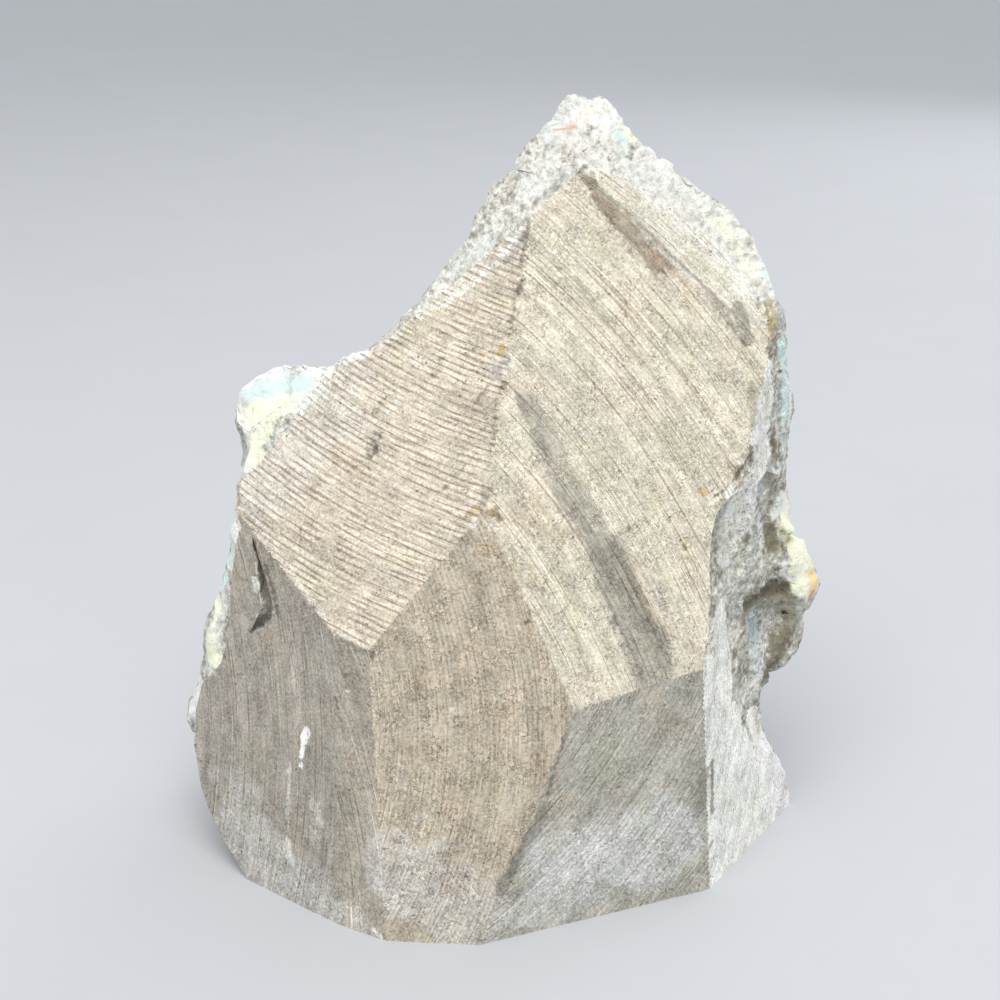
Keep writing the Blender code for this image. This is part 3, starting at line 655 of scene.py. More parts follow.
# The arched hollow below the bulge: olive and dark painted shade under its arch, its blue chalcedony and its
# olive edge.
ARCHED_HOLLOW: Marks = {
    Stain.OLIVE: [
        # The first three olive bands are painted shade under the arch.
        (1.6, 0.9, 0.5, (745, 614), (749, 600), (762, 593), (780, 590), (796, 588)),
        (2.0, 0.7, 0.8, (762, 600), (778, 604), (794, 600)),
        (2.2, 0.8, 0.8, (785, 600), (795, 612), (790, 630)),
        (2.0, 0.9, 0.9, (782, 635), (777, 655), (768, 672)),
        (0.8, 0.6, 0.8, (742, 610), (742, 645), (740, 680)),
    ],
    Stain.PIT: [
        # The first of these is painted shade under the arch.
        (1.3, 0.6, 0.8, (780, 608), (786, 618)), (1.0, 0.85, 0.9, (786, 640), (776, 660), (764, 680)),
        (0.6, 0.9, 0.6, (742, 718), (744, 725)), (0.4, 0.8, 0.6, (742, 638)),
    ],
    Stain.CELADON: [(1.2, 0.6, 0.5, (803, 604), (800, 618))],
    Stain.CHALK: [(2.2, 0.9, 0.7, (757, 636), (758, 678)), (1.8, 0.7, 0.7, (750, 690), (748, 715))],
    Stain.BLUE: [(2.2, 1.0, 0.5, (752, 612), (754, 632)), (1.6, 0.75, 0.7, (756, 640), (757, 668))],
    Stain.QUARTZ: [
        (1.2, 0.7, 0.7, (764, 612), (768, 628)), (0.35, 0.9, 0.3, (766, 634), (763, 650), (761, 668)),
        (0.8, 1.2, 0.4, (743, 700)),
    ],
    Stain.CREAM: [(0.9, 0.6, 0.7, (768, 690), (772, 684))],
}
# The dark joint between the back and the right side.
RIGHT_JOINT: Marks = {
    Stain.PIT: [
        (0.35, 0.7, 0.7, (716, 502), (712, 545), (711, 575)), (0.4, 0.8, 0.6, (711, 606), (710, 616)),
        (0.3, 0.6, 0.7, (707, 640), (704, 690)),
    ],
}
# The left lobe, the skin below it and the small lumps.
LEFT_LOBE: Marks = {
    Stain.QUARTZ: [
        (0.9, 1.3, 0.3, (238, 402), (243, 386), (262, 375), (290, 369), (318, 371)),
        (0.7, 0.8, 0.5, (284, 412)), (0.8, 1.2, 0.4, (236, 476), (242, 470)),
        (0.9, 1.2, 0.4, (348, 353), (366, 353)), (0.9, 1.2, 0.4, (199, 685), (197, 700), (190, 712)),
    ],
    Stain.CELADON: [
        (1.6, 1.3, 0.3, (252, 392), (275, 386), (305, 382)),
        (1.2, 1.2, 0.3, (233, 515), (231, 540), (229, 560)), (0.7, 0.9, 0.4, (227, 575), (221, 590)),
    ],
    Stain.OLIVE: [
        (0.6, 0.45, 0.6, (262, 398), (270, 406)), (0.7, 0.35, 0.6, (248, 412), (256, 416)),
        (0.4, 0.5, 0.5, (226, 642), (230, 648)),
    ],
    Stain.CREAM: [
        (2.4, 1.2, 0.4, (256, 412), (280, 405)), (2.4, 1.0, 0.5, (256, 430), (256, 455)),
        (1.2, 0.9, 0.4, (270, 422), (264, 440)), (1.0, 1.2, 0.4, (218, 600), (214, 620)),
        (1.5, 1.3, 0.4, (210, 640), (210, 655), (220, 664)),
    ],
    Stain.RUST: [(0.35, 0.9, 0.4, (238, 488), (238, 504))],
    Stain.CHALK: [(1.6, 1.3, 0.3, (243, 400), (243, 425), (247, 445))],
}
# White agate below the colours of the left lobe, the strip under it, the bulge and the peak.
WHITE_AGATE: Marks = {
    Stain.CHALK: [
        (4.0, 0.78, 0.4, (250, 395), (285, 382), (312, 374)),
        (2.2, 1.2, 0.3, (322, 372), (312, 388), (298, 402)), (1.5, 1.2, 0.4, (345, 356), (362, 352)),
        (2.4, 0.75, 0.5, (255, 418), (252, 436)), (1.6, 1.3, 0.2, (250, 448), (247, 464)),
        (2.2, 1.2, 0.2, (238, 475), (234, 520), (230, 560)),
        (2.2, 0.75, 0.4, (222, 595), (212, 635), (210, 662)), (1.6, 1.2, 0.2, (200, 685), (190, 712)),
        (2.6, 1.2, 0.3, (780, 505), (792, 535), (806, 560), (810, 585)),
        (5.0, 0.82, 0.6, (560, 120), (590, 110), (615, 130)),
        (2.2, 0.45, 0.7, (538, 140), (515, 172), (490, 205), (465, 245)),
        (1.2, 0.6, 0.7, (440, 278), (410, 312), (385, 338)),
    ],
    Stain.RAW: [
        (1.7, 1.2, 0.3, (314, 374), (304, 385), (293, 398), (288, 412)),
        (2.0, 1.2, 0.3, (282, 418), (268, 432), (258, 446), (248, 460), (242, 472)),
    ],
}
# The peak and the rims on both sides of it.
PEAK: Marks = {
    Stain.RUST: [(0.35, 0.9, 0.5, (554, 130), (572, 128), (590, 131))],
    Stain.QUARTZ: [(3.0, 0.35, 0.9, (560, 112), (590, 108), (605, 118))],
    Stain.BLUE: [(2.2, 0.5, 0.8, (548, 136), (556, 150)), (0.8, 0.6, 0.6, (704, 201), (712, 208))],
    Stain.CELADON: [
        (1.2, 0.6, 0.7, (572, 110), (580, 100)), (1.3, 0.6, 0.6, (548, 124), (560, 118)),
        (1.1, 0.8, 0.5, (616, 130), (624, 142)), (0.9, 0.8, 0.5, (768, 265), (775, 290)),
    ],
    Stain.CREAM: [
        (0.8, 0.8, 0.6, (590, 110), (596, 116)), (1.0, 1.2, 0.4, (627, 130), (633, 138)),
        (1.4, 0.7, 0.8, (715, 215), (735, 245), (752, 275)), (0.9, 0.6, 0.8, (700, 205), (708, 214)),
    ],
    Stain.OCHRE: [
        (0.5, 0.45, 0.8, (604, 124), (612, 128)), (0.5, 0.8, 0.5, (631, 134)),
        (0.8, 0.35, 0.7, (605, 140), (615, 150)), (0.8, 0.4, 0.7, (722, 225), (735, 240)),
        (0.6, 0.5, 0.7, (756, 282), (762, 290)),
    ],
    Stain.LILAC: [(1.0, 0.4, 0.8, (562, 140), (572, 152), (576, 166))],
    Stain.CHALK: [
        (3.0, 0.62, 0.7, (548, 160), (532, 185), (515, 205)),
        (2.4, 0.6, 0.7, (500, 228), (479, 252), (452, 280)),
        (1.5, 0.6, 0.7, (434, 298), (417, 312), (384, 340)),
        (0.7, 0.8, 0.6, (524, 226), (498, 262), (466, 288), (440, 306)),
        (2.6, 0.8, 0.7, (582, 150), (600, 160)), (2.6, 0.8, 0.7, (640, 160), (670, 180), (700, 212)),
        (2.4, 0.75, 0.7, (700, 212), (730, 245), (755, 290)),
        (2.4, 0.9, 0.5, (652, 152), (692, 190), (728, 224), (752, 258), (768, 294)),
        (2.6, 0.42, 0.8, (600, 165), (640, 195), (690, 235), (735, 275)),
        (2.8, 0.78, 0.7, (610, 150), (640, 178), (680, 205), (715, 240), (750, 285)),
    ],
    Stain.SHADE: [(0.5, 0.6, 0.6, (573, 150), (577, 166))],
}
# The white crust at the foot of the right side.
RIGHT_CRUST: Marks = {
    Stain.CHALK: [
        (2.0, 1.1, 0.5, (756, 735), (772, 760), (782, 785), (780, 805)),
        (1.7, 0.9, 0.6, (718, 620), (720, 670), (722, 720)),
    ],
    Stain.QUARTZ: [(3.0, 0.9, 0.5, (762, 745), (774, 775), (780, 800))],
}
# Pale crumbled edges of the left roof, and painted shadow under the rim of its lower tip.
LEFT_ROOF_EDGES: Marks = {
    Stain.CHALK: [
        (0.8, 0.55, 0.6, (246, 492), (262, 528), (285, 562), (310, 598), (335, 630), (365, 643)),
    ],
    # Painted shadow under the rim of the lower tip.
    Stain.SHADE: [(0.4, 0.7, 0.5, (304, 604), (328, 636), (350, 652), (372, 650))],
    Stain.TAN: [(4.0, 0.36, 0.8, (385, 495), (415, 520))],
}
# The sawn strips left of the rind on the right side and under it.
SAWN_STRIPS: Marks = {
    Stain.SAWN: [
        (2.3, 1.2, 0.2, (722, 612), (723, 650), (725, 700)),
        (2.2, 1.2, 0.2, (752, 718), (757, 728), (764, 740), (771, 752)),
    ],
}
PATCHES = WORN + tuple(
    Patch(stain, *mark[:3], mark[3:])
    for region in (
        STRIPES, GREY_BANDS, RIGHT_CREASE, NOSE_TIP, BROKEN_GROOVE, ROOF_RIDGE, POCKS, LEFT_FLANK,
        PALE_FOOT, LIGHT_STREAKS, RIGHT_SIDE, ARCHED_HOLLOW, RIGHT_JOINT, LEFT_LOBE, WHITE_AGATE, PEAK,
        RIGHT_CRUST, LEFT_ROOF_EDGES, SAWN_STRIPS,
    )
    for stain, marks in region.items()
    for mark in marks
)

# The rim of the display side and the edge of its hollow, counter-clockwise from the right as (x, z).
HOLLOW_OUTLINE: Outline = (
    (20, 9.5), (33, 11), (36.5, 21), (42, 31), (42.5, 39), (38.5, 49), (38, 60), (39, 74), (36.5, 88),
    (31, 100), (22, 107.5), (13, 112.5), (7, 111), (1, 103), (-6, 93.5), (-15, 84), (-24, 75), (-33, 70.5),
    (-41, 68), (-41, 58), (-42.5, 46), (-45, 33), (-45, 24), (-38, 14), (-20, 9.5), (0, 9),
)
AXIS = (0.0, 50.0)


@dataclass(frozen=True)
class Nudge:
    """A soft push that brings the stone's natural skin to its real shape."""

    place: Point
    reach: float
    move: Point

    def push(self, points: Array) -> Array:
        """How far each point is moved."""
        share = smooth(1.0, 0.0, np.linalg.norm(points - np.array(self.place), axis=1) / self.reach)
        return share[:, None] * np.array(self.move)


NUDGES = (
    # The peak with its two knobs, and the shoulders on both sides of it.
    Nudge((9.0, 31.0, 126.0), 8.0, (0.6, 0.0, 2.0)),
    Nudge((5.8, 35.8, 123.2), 4.4, (-0.4, 0.0, 2.2)),
    Nudge((11.8, 34.0, 124.0), 3.8, (0.0, 0.0, 1.4)),
    Nudge((-4.2, 29.5, 112.2), 3.5, (-1.5, 0.0, 0.3)),
    Nudge((15.5, 32.0, 124.0), 6.0, (1.0, 0.0, 1.0)),
    Nudge((-3.0, 27.0, 115.0), 6.5, (-2.0, 0.0, 1.0)),
    Nudge((-2.0, 30.5, 114.3), 4.5, (-1.6, 0.0, 0.4)),
    Nudge((-7.0, 26.0, 109.5), 6.5, (-2.3, 0.0, 1.0)),
    Nudge((20.5, 32.5, 119.5), 5.0, (0.3, 0.0, 0.3)),
    Nudge((20.5, 32.5, 118.3), 3.0, (1.0, 0.0, 1.2)),
    Nudge((24.8, 33.5, 116.0), 3.2, (-0.6, 0.0, -1.1)),
    Nudge((27.0, 32.5, 115.5), 6.0, (1.3, 0.0, 1.3)),
    Nudge((33.0, 32.0, 110.5), 6.0, (1.4, 0.0, 1.4)),
    Nudge((34.0, 31.0, 106.5), 3.5, (1.2, 0.0, 0.8)),
    Nudge((38.5, 31.5, 104.5), 6.0, (1.2, 0.0, 1.0)),
    Nudge((38.8, 29.0, 98.5), 4.0, (0.9, 0.0, 0.0)),
    # The bulge on the right, the hollow below it and the right foot.
    Nudge((47.5, 20.0, 39.5), 5.0, (2.7, 0.0, 0.0)),
    Nudge((48.8, 19.0, 30.2), 4.0, (-1.4, 0.0, 0.0)),
    Nudge((46.5, 21.0, 56.6), 3.8, (-2.6, 0.0, 0.0)),
    Nudge((45.8, 20.0, 53.0), 3.5, (1.7, -0.3, 0.0)),
    Nudge((44.5, 15.5, 44.5), 4.0, (0.0, 2.0, 0.0)),
    Nudge((41.0, 11.0, 27.5), 5.0, (2.4, 0.0, 0.0)),
    Nudge((43.3, 13.0, 17.0), 5.5, (-2.4, 0.0, 0.0)),
    Nudge((45.0, 16.0, 14.0), 5.0, (-2.4, 0.0, 0.0)),
    Nudge((45.5, 12.0, 3.0), 7.0, (1.3, 0.8, 0.0)),
    # The low end of the left roof, the left lobe and the lump below it, and the chip's bed.
    Nudge((-50.5, 17.8, 73.5), 4.5, (1.0, 0.0, 0.0)),
    Nudge((-57.0, 12.2, 39.5), 4.0, (0.9, 0.0, 0.0)),
    Nudge((-33.5, 21.0, 85.3), 6.0, (0.0, 0.0, -1.6)),
    Nudge((-45.0, 2.6, 46.5), 4.0, (-0.2, -0.7, 0.0)),
)

# The two knobs on the peak.
KNOBS = (
    Nudge((7.5, 38.3, 124.8), 4.2, (-0.7, 0.0, 3.0)),
    Nudge((12.1, 38.0, 125.8), 3.3, (0.2, 0.0, 1.7)),
)


class Ring:
    """An outline round the stone's axis, by how far out it lies at each angle."""

    def __init__(self, outline: Outline) -> None:
        """Sorts the outline's points by their angle."""
        x, z = np.array(outline, float).T - np.array(AXIS)[:, None]
        angle, reach = np.arctan2(z, x), np.hypot(x, z)
        order = np.argsort(angle)
        self.angle, self.reach = angle[order], reach[order]

    def reach_at(self, points: Array) -> tuple[Array, Array]:
        """How far out each point lies, and how far out the outline lies in its direction."""
        x, z = points[:, 0] - AXIS[0], points[:, 2] - AXIS[1]
        reach = np.interp(np.arctan2(z, x), self.angle, self.reach, period=2 * math.pi)
        return np.hypot(x, z), reach


def triangulate(outline: Array, edges: Array, inner: Array) -> Array:
    """Fills closed outlines in a plane with triangles.

    Args:
        outline: the outlines' points.
        edges: pairs of those points that close the outlines.
        inner: more points, inside.

    Returns:
        Triangles, counter-clockwise, as rows of three numbers into outline and then inner.
    """
    points = np.vstack([outline, inner]) if len(inner) else outline
    made = delaunay_2d_cdt([Vector(p) for p in points], [tuple(map(int, e)) for e in edges], [], 0, 1e-7)
    source = np.array([o[0] if o else -1 for o in made[3]])
    faces = source[np.array(made[2])]
    faces = faces[(faces >= 0).all(axis=1)]
    return faces[inside(points[faces].mean(axis=1), outline[edges])]


def inside(points: Array, segments: Array) -> Array:
    """Which points lie inside closed outlines.

    Args:
        points: points in a plane.
        segments: the outlines' edges, as pairs of points.

    Returns:
        True for each point that is inside.
    """
    crossings = np.zeros(len(points), int)
    x, y = points.T
    for (x0, y0), (x1, y1) in segments:
        if y0 != y1:
            spans = (y0 > y) != (y1 > y)
            crossings += spans & (x < x0 + (y - y0) * (x1 - x0) / (y1 - y0))
    return crossings % 2 == 1


@dataclass
class SawnBack:
    """The sawn faces as one surface: what the saw left is what every cut has spared."""

    cuts: tuple[SawCut, ...] = SAW_CUTS
    spacing: float = 0.44
    clearance: float = 0.25
    crumble_width: float = 1.5
    crumble_depth: float = 0.85
    foot_spacing: float = 0.3
    roof_end: tuple[float, float] = (-26.5, -33.0)
    roof_end_lift: float = 6.0
    step_limit: float = 3.0
    lump_size: float = 1.5
    lump_lift: float = 0.25
    foot_reach: tuple[float, float] = (-80.0, 60.0)
    halvings: int = 34

    def flat_depths(self, a: Array, b: Array) -> Array:
        """How far out each flat cut lies at places on the layout, one row a cut."""
        base = a[:, None] * RIGHT + b[:, None] * RISE
        depths = np.array([
            (cut.normal @ np.array(cut.corner, float) - base @ cut.normal) / (cut.normal @ OUT)
            for cut in self.cuts
        ])
        depths[Cut.LEFT_ROOF.value] += self.roof_end_lift * smooth(*self.roof_end, a)
        return depths

    def surface(self, a: Array, b: Array) -> tuple[Array, Array]:
        """The real surface at places on the layout.

        Args:
            a: the distance along RIGHT.
            b: the distance along RISE.

        Returns:
            The distance along OUT, and the number of the cut that lies there.
        """
        flat = self.flat_depths(a, b)
        near = flat < flat.min(axis=0) + self.step_limit
        real = flat.copy()
        for k, cut in enumerate(self.cuts):
            rows = np.flatnonzero(near[k])
            if len(rows):
                points = self.points(a[rows], b[rows], flat[k, rows])
                real[k, rows] += cut.lift(points) / float(cut.normal @ OUT)
        order = np.argsort(real, axis=0)
        first, second = order[0], order[1]
        columns = np.arange(len(a))
        top = real[first, columns]
        gap = real[second, columns] - top
        points = self.points(a, b, top)
        share = np.full((len(self.cuts),) * 2, EDGE_CRUMBLE)
        for pair, value in CRUMBLED_EDGES.items():
            i, j = (c.value for c in pair)
            share[i, j] = share[j, i] = value
        worn = share[first, second] * smooth(self.crumble_width, 0.0, gap)
        lumps = NOISE.fractal(points, self.lump_size, 3, 0.7)
        return top - self.crumble_depth * worn * np.clip(lumps + self.lump_lift, 0.0, 1.0), first

    @staticmethod
    def points(a: Array, b: Array, depth: Array) -> Array:
        """The points in space of places on the layout."""
        return a[:, None] * RIGHT + b[:, None] * RISE + depth[:, None] * OUT

    def foot_edge(self, a: Array) -> Array:
        """How far up the layout the surface meets the floor's height, at each distance along RIGHT."""
        low, high = (np.full(len(a), end) for end in self.foot_reach)
        for _ in range(self.halvings):
            middle = (low + high) / 2
            height = middle * RISE[2] + self.surface(a, middle)[0] * OUT[2]
            low, high = np.where(height < 0, middle, low), np.where(height < 0, high, middle)
        return (low + high) / 2

    def inner_places(self, outline: Array, edges: Array) -> Array:
        """A close, even lattice of places inside the outline, clear of its points."""
        low, high = outline.min(axis=0), outline.max(axis=0)
        rows = np.arange(low[1], high[1], self.spacing * math.sqrt(3) / 2)
        columns = np.arange(low[0], high[0], self.spacing)
        shift = (np.arange(len(rows)) % 2)[:, None] * self.spacing / 2
        grid = np.stack([columns[None, :] + shift, np.repeat(rows[:, None], len(columns), 1)], axis=-1)
        places = grid.reshape(-1, 2)
        places = places[inside(places, outline[edges])]
        tree = Lookup(outline)
        return places[tree.distance(places) > self.clearance]


class Lookup:
    """Finds how far places in a plane are from the nearest of some points."""

    CELL = 1.5

    def __init__(self, points: Array) -> None:
        """Sorts the points into square cells."""
        self.cells: dict[tuple[int, int], list[Array]] = {}
        for point in points:
            self.cells.setdefault(tuple(np.floor(point / self.CELL).astype(int)), []).append(point)

    def distance(self, places: Array) -> Array:
        """The distance to the nearest point, or a large number where none is in the next cells."""
        found = np.full(len(places), 1e3)
        keys = np.floor(places / self.CELL).astype(int)
        order = np.lexsort(keys.T)
        keys, ends = keys[order], np.flatnonzero(np.any(np.diff(keys[order], axis=0), axis=1)) + 1
        for rows in np.split(order, ends):
            cell = np.floor(places[rows[0]] / self.CELL).astype(int)
            near = [p for dx in (-1, 0, 1) for dy in (-1, 0, 1)
                    for p in self.cells.get((cell[0] + dx, cell[1] + dy), [])]
            if near:
                gaps = places[rows][:, None, :] - np.array(near)[None]
                found[rows] = np.linalg.norm(gaps, axis=2).min(axis=1)
        return found


@dataclass
class NaturalSkin:
    """The skin that the saw never reached: rind, agate lumps, the display side's rim and its hollow."""

    hollow: Ring = field(default_factory=lambda: Ring(HOLLOW_OUTLINE))
    fine_edge: float = 0.95
    rim_edge: float = 1.3
    hidden_edge: float = 5.0
    display_y: float = 24.0
    hidden_y: float = 5.0
    hidden_share: float = 0.9
    on_plane: float = 0.02
    split_passes: int = 7
    relax_passes: int = 5
    relax_share: float = 0.6
    hollow_start: tuple[float, float] = (4.0, 8.0)
    hollow_edge: tuple[float, float] = (1.0, 0.97)
    off_floor: float = 0.05
    swell: float = 0.55
    swell_size: float = 4.0
    grit: float = 0.3
    grit_size: float = 1.3
    grit_shift: float = 40.0

    def cut_free(self, source: bpy.types.Object, back: SawnBack) -> bmesh.types.BMesh:
        """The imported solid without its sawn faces.

        Args:
            source: the stone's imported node.
            back: the sawn faces, which the open edge is brought to.

        Returns:
            Its natural faces in millimetres, open where the sawn faces were.
        """
        skin = bmesh.new()
        skin.from_mesh(source.data)
        bmesh.ops.scale(skin, vec=(1 / MM,) * 3, verts=skin.verts[:])
        bmesh.ops.remove_doubles(skin, verts=skin.verts[:], dist=1e-3)
        for vert in skin.verts:
            if vert.co.z < self.on_plane:
                vert.co.z = 0.0
        planes = [(cut.normal, cut.normal @ np.array(cut.corner, float)) for cut in SAW_CUTS]
        planes.append((np.array([0.0, 0.0, -1.0]), 0.0))
        sawn = []
        for face in skin.faces:
            corners = np.array([v.co for v in face.verts])
            if any(np.abs(corners @ n - d).max() < self.on_plane for n, d in planes):
                sawn.append(face)
        bmesh.ops.delete(skin, geom=sawn, context="FACES")
        for vert in skin.verts:
            if vert.is_boundary and vert.co.z > self.on_plane:
                place = np.array([vert.co])
                flat = back.flat_depths(place @ RIGHT, place @ RISE).min()
                vert.co += Vector(OUT) * float(flat - (place @ OUT)[0])
        return skin

    def longest_edge(self, middles: Array) -> Array:
        """How long an edge may be at each place."""
        reach, hollow = self.hollow.reach_at(middles)
        longest = np.where(middles[:, 1] > self.display_y, self.rim_edge, self.fine_edge)
        hidden = (middles[:, 1] > self.hidden_y) & (reach < self.hidden_share * hollow)
        return np.where(hidden, self.hidden_edge, longest)

    def refine(self, skin: bmesh.types.BMesh) -> None:
        """Splits long edges until the skin is fine enough for its roughness."""
        bmesh.ops.triangulate(skin, faces=skin.faces[:])
        for _ in range(self.split_passes):
            skin.edges.ensure_lookup_table()
            ends = np.array([(*e.verts[0].co, *e.verts[1].co) for e in skin.edges]).reshape(-1, 2, 3)
            length = np.linalg.norm(ends[:, 1] - ends[:, 0], axis=1)
            long = np.flatnonzero(length > self.longest_edge(ends.mean(axis=1)))
            if not len(long):
                break
            bmesh.ops.subdivide_edges(skin, edges=[skin.edges[k] for k in long], cuts=1)
            bmesh.ops.triangulate(skin, faces=[f for f in skin.faces if len(f.verts) > 3],
                                  quad_method="SHORT_EDGE")

    @staticmethod
    def arrays(skin: bmesh.types.BMesh) -> tuple[Array, Array, Array]:
        """The skin's points, triangles and open edges."""
        skin.verts.index_update()
        points = np.array([v.co for v in skin.verts])
        faces = np.array([[v.index for v in f.verts] for f in skin.faces])
        rim = np.array([[v.index for v in e.verts] for e in skin.edges if e.is_boundary])
        return points, faces, rim

    def relax(self, points: Array, faces: Array, fixed: Array) -> Array:
        """Rounds off the flat patches of the solid.

        Args:
            points: the skin's points.
            faces: its triangles.
            fixed: True for each point that stays.

        Returns:
            The rounded points.
        """
        pairs = np.vstack([faces[:, [0, 1]], faces[:, [1, 2]], faces[:, [2, 0]]])
        pairs = np.unique(np.sort(pairs, axis=1), axis=0)
        here, there = np.vstack([pairs, pairs[:, ::-1]]).T
        count = np.bincount(here, minlength=len(points))
        for _ in range(self.relax_passes):
            mean = np.stack([np.bincount(here, points[there, k], len(points)) for k in range(3)], axis=1)
            mean /= np.maximum(count, 1)[:, None]
            eased = (1 - self.relax_share) * points + self.relax_share * mean
            points = np.where(fixed[:, None], points, eased)
        return points

    def is_hollow(self, points: Array) -> Array:
        """How far each point is inside the hollow: 0 on the rim and 1 behind the crystals."""
        reach, hollow = self.hollow.reach_at(points)
        front = smooth(*self.hollow_start, points[:, 1])
        return front * smooth(*self.hollow_edge, reach / hollow)

    def roughen(self, points: Array, faces: Array, fixed: Array, cover: Cover) -> Array:
        """Gives the rind its lumps and grit.

        Args:
            points: the skin's points.
            faces: its triangles.
            fixed: True for each point that stays.
            cover: the worn places.

        Returns:
            The rough points.
        """
        outward = vertex_normals(points, faces)
        lift = self.swell * NOISE.fractal(points, self.swell_size, 2, 0.5)
        lift += self.grit * NOISE.fractal(points + self.grit_shift, self.grit_size, 2, 0.6)
        lift *= 1 - self.is_hollow(points)
        lift += cover.lift(points)
        lift *= 1 - cover.mask(points, Stain.SAWN).clip(0, 1)
        moved = np.where(fixed[:, None], points, points + lift[:, None] * outward)
        moved += sum(nudge.push(points) for nudge in NUDGES)
        above = np.maximum(moved, [-np.inf, -np.inf, self.off_floor])
        return np.where(points[:, 2:] > ON_FLOOR, above, points)


def vertex_normals(points: Array, faces: Array) -> Array:
    """The outward direction at each point of a triangle mesh."""
    a, b, c = (points[faces[:, k]] for k in range(3))
    flat = np.cross(b - a, c - a)
    total = np.zeros_like(points)
    for k in range(3):
        for axis in range(3):
            total[:, axis] += np.bincount(faces[:, k], flat[:, axis], len(points))
    return unit(total)


class Socket:
    """A shader node's output, which adds Math nodes when it is used in sums."""

    def __init__(self, shader: Shader, link: bpy.types.NodeSocket) -> None:
        """Wraps one output of one node."""
        self.shader, self.link = shader, link

    def _math(self, operation: str, *values: Any, clamp: bool = False) -> Socket:
        """The result of a Math node."""
        settings = {"operation": operation, "use_clamp": clamp}
        return self.shader.node("ShaderNodeMath", settings, dict(enumerate(values)))

    def __add__(self, other: Any) -> Socket:
        """This plus another."""
        return self._math("ADD", self, other)

    __radd__ = __add__

    def __mul__(self, other: Any) -> Socket:
        """This times another."""
        return self._math("MULTIPLY", self, other)

    __rmul__ = __mul__

    def __sub__(self, other: Any) -> Socket:
        """This less another."""
        return self._math("SUBTRACT", self, other)

    def __rsub__(self, other: Any) -> Socket:
        """Another less this."""
        return self._math("SUBTRACT", other, self)

    def __truediv__(self, other: Any) -> Socket:
        """This over another."""
        return self._math("DIVIDE", self, other)

    def sine(self) -> Socket:
        """The sine of this."""
        return self._math("SINE", self)

    def size(self) -> Socket:
        """This without its sign."""
        return self._math("ABSOLUTE", self)

    def clamped(self) -> Socket:
        """This, kept from 0 to 1."""
        return self._math("ADD", self, 0.0, clamp=True)

    def step(self, low: float, high: float) -> Socket:
        """A soft step of this from 0 at low to 1 at high."""
        return self.shader.node("ShaderNodeMapRange", {"interpolation_type": "SMOOTHSTEP"},
                                {"Value": self, "From Min": low, "From Max": high})


class Shader:
    """One material's nodes, added by name."""

    def __init__(self, name: str) -> None:
        """Starts an empty material."""
        self.material = bpy.data.materials.new(name)
        self.material.use_nodes = True
        self.tree = self.material.node_tree
        self.tree.nodes.clear()
        self.end = self.tree.nodes.new("ShaderNodeOutputMaterial")

    def node(self, kind: str, settings: dict[str, Any] | None = None, inputs: dict[Any, Any] | None = None,
             output: int | str = 0) -> Socket:
        """Adds a node.

        Args:
            kind: the node's type.
            settings: its settings, set before its sockets; a ramp's are given as stops.
            inputs: a value or a link for each socket, by name or number.
            output: which output is wanted.

        Returns:
            That output.
        """
        made = self.tree.nodes.new(kind)
        for key, value in (settings or {}).items():
            if key == "stops":
                elements = made.color_ramp.elements
                while len(elements) < len(value):
                    elements.new(1.0)
                for element, (place, colour) in zip(elements, value):
                    element.position, element.color = place, (*colour, 1.0)
            else:
                setattr(made, key, value)
        for key, value in (inputs or {}).items():
            if isinstance(value, Socket):
                self.tree.links.new(value.link, made.inputs[key])
            elif isinstance(value, tuple) and len(value) == 3 and made.inputs[key].type == "RGBA":
                made.inputs[key].default_value = (*value, 1.0)
            else:
                made.inputs[key].default_value = value
        return Socket(self, made.outputs[output])

    def attribute(self, name: str) -> Socket:
        """A number that the mesh carries."""
        return self.node("ShaderNodeAttribute", {"attribute_name": name}, output="Fac")

    def colour_attribute(self, name: str) -> Socket:
        """A colour that the mesh carries."""
        return self.node("ShaderNodeAttribute", {"attribute_name": name}, output="Color")

    def place(self) -> Socket:
        """The place on the object, in metres."""
        return self.node("ShaderNodeTexCoord", output="Object")

    def vector(self, x: Any, y: Any, z: Any) -> Socket:
        """Three numbers as a vector."""
        return self.node("ShaderNodeCombineXYZ", None, {0: x, 1: y, 2: z})

    def noise(self, vector: Socket, size: float, detail: float = 2.0, roughness: float = 0.5,
              distortion: float = 0.0) -> Socket:
        """Noise from about 0.3 to 0.7, with cells of a size in the vector's own unit."""
        return self.node("ShaderNodeTexNoise", None, {
            "Vector": vector, "Scale": 1 / size, "Detail": detail, "Roughness": roughness,
            "Distortion": distortion})

    def cells(self, vector: Socket, size: float) -> Socket:
        """The distance from the nearest of scattered points, in cells."""
        inputs = {"Vector": vector, "Scale": 1 / size}
        return self.node("ShaderNodeTexVoronoi", {"feature": "F1"}, inputs, output="Distance")

    def mix(self, factor: Any, first: Any, second: Any, blend: str = "MIX") -> Socket:
        """One colour over another."""
        return self.node("ShaderNodeMix", {"data_type": "RGBA", "blend_type": blend},
                         {0: factor, 6: first, 7: second}, output=2)

    def scaled(self, colour: Any, factor: Any) -> Socket:
        """A colour times a number."""
        return self.node("ShaderNodeVectorMath", {"operation": "SCALE"}, {0: colour, "Scale": factor})

    def bump(self, height: Socket, distance: float, normal: Socket | None = None) -> Socket:
        """A normal that follows a height, in metres."""
        inputs: dict[Any, Any] = {"Height": height, "Distance": distance, "Strength": 1.0}
        if normal is not None:
            inputs["Normal"] = normal
        return self.node("ShaderNodeBump", None, inputs)

    def finish(self, surface: dict[str, Any], volume: Socket | None = None) -> bpy.types.Material:
        """Closes the material with a Principled shader.

        Args:
            surface: the shader's sockets.
            volume: what fills the body, if light passes through it.

        Returns:
            The material.
        """
        shader = self.node("ShaderNodeBsdfPrincipled", None, surface)
        self.tree.links.new(shader.link, self.end.inputs["Surface"])
        if volume is not None:
            self.tree.links.new(volume.link, self.end.inputs["Volume"])
        return self.material


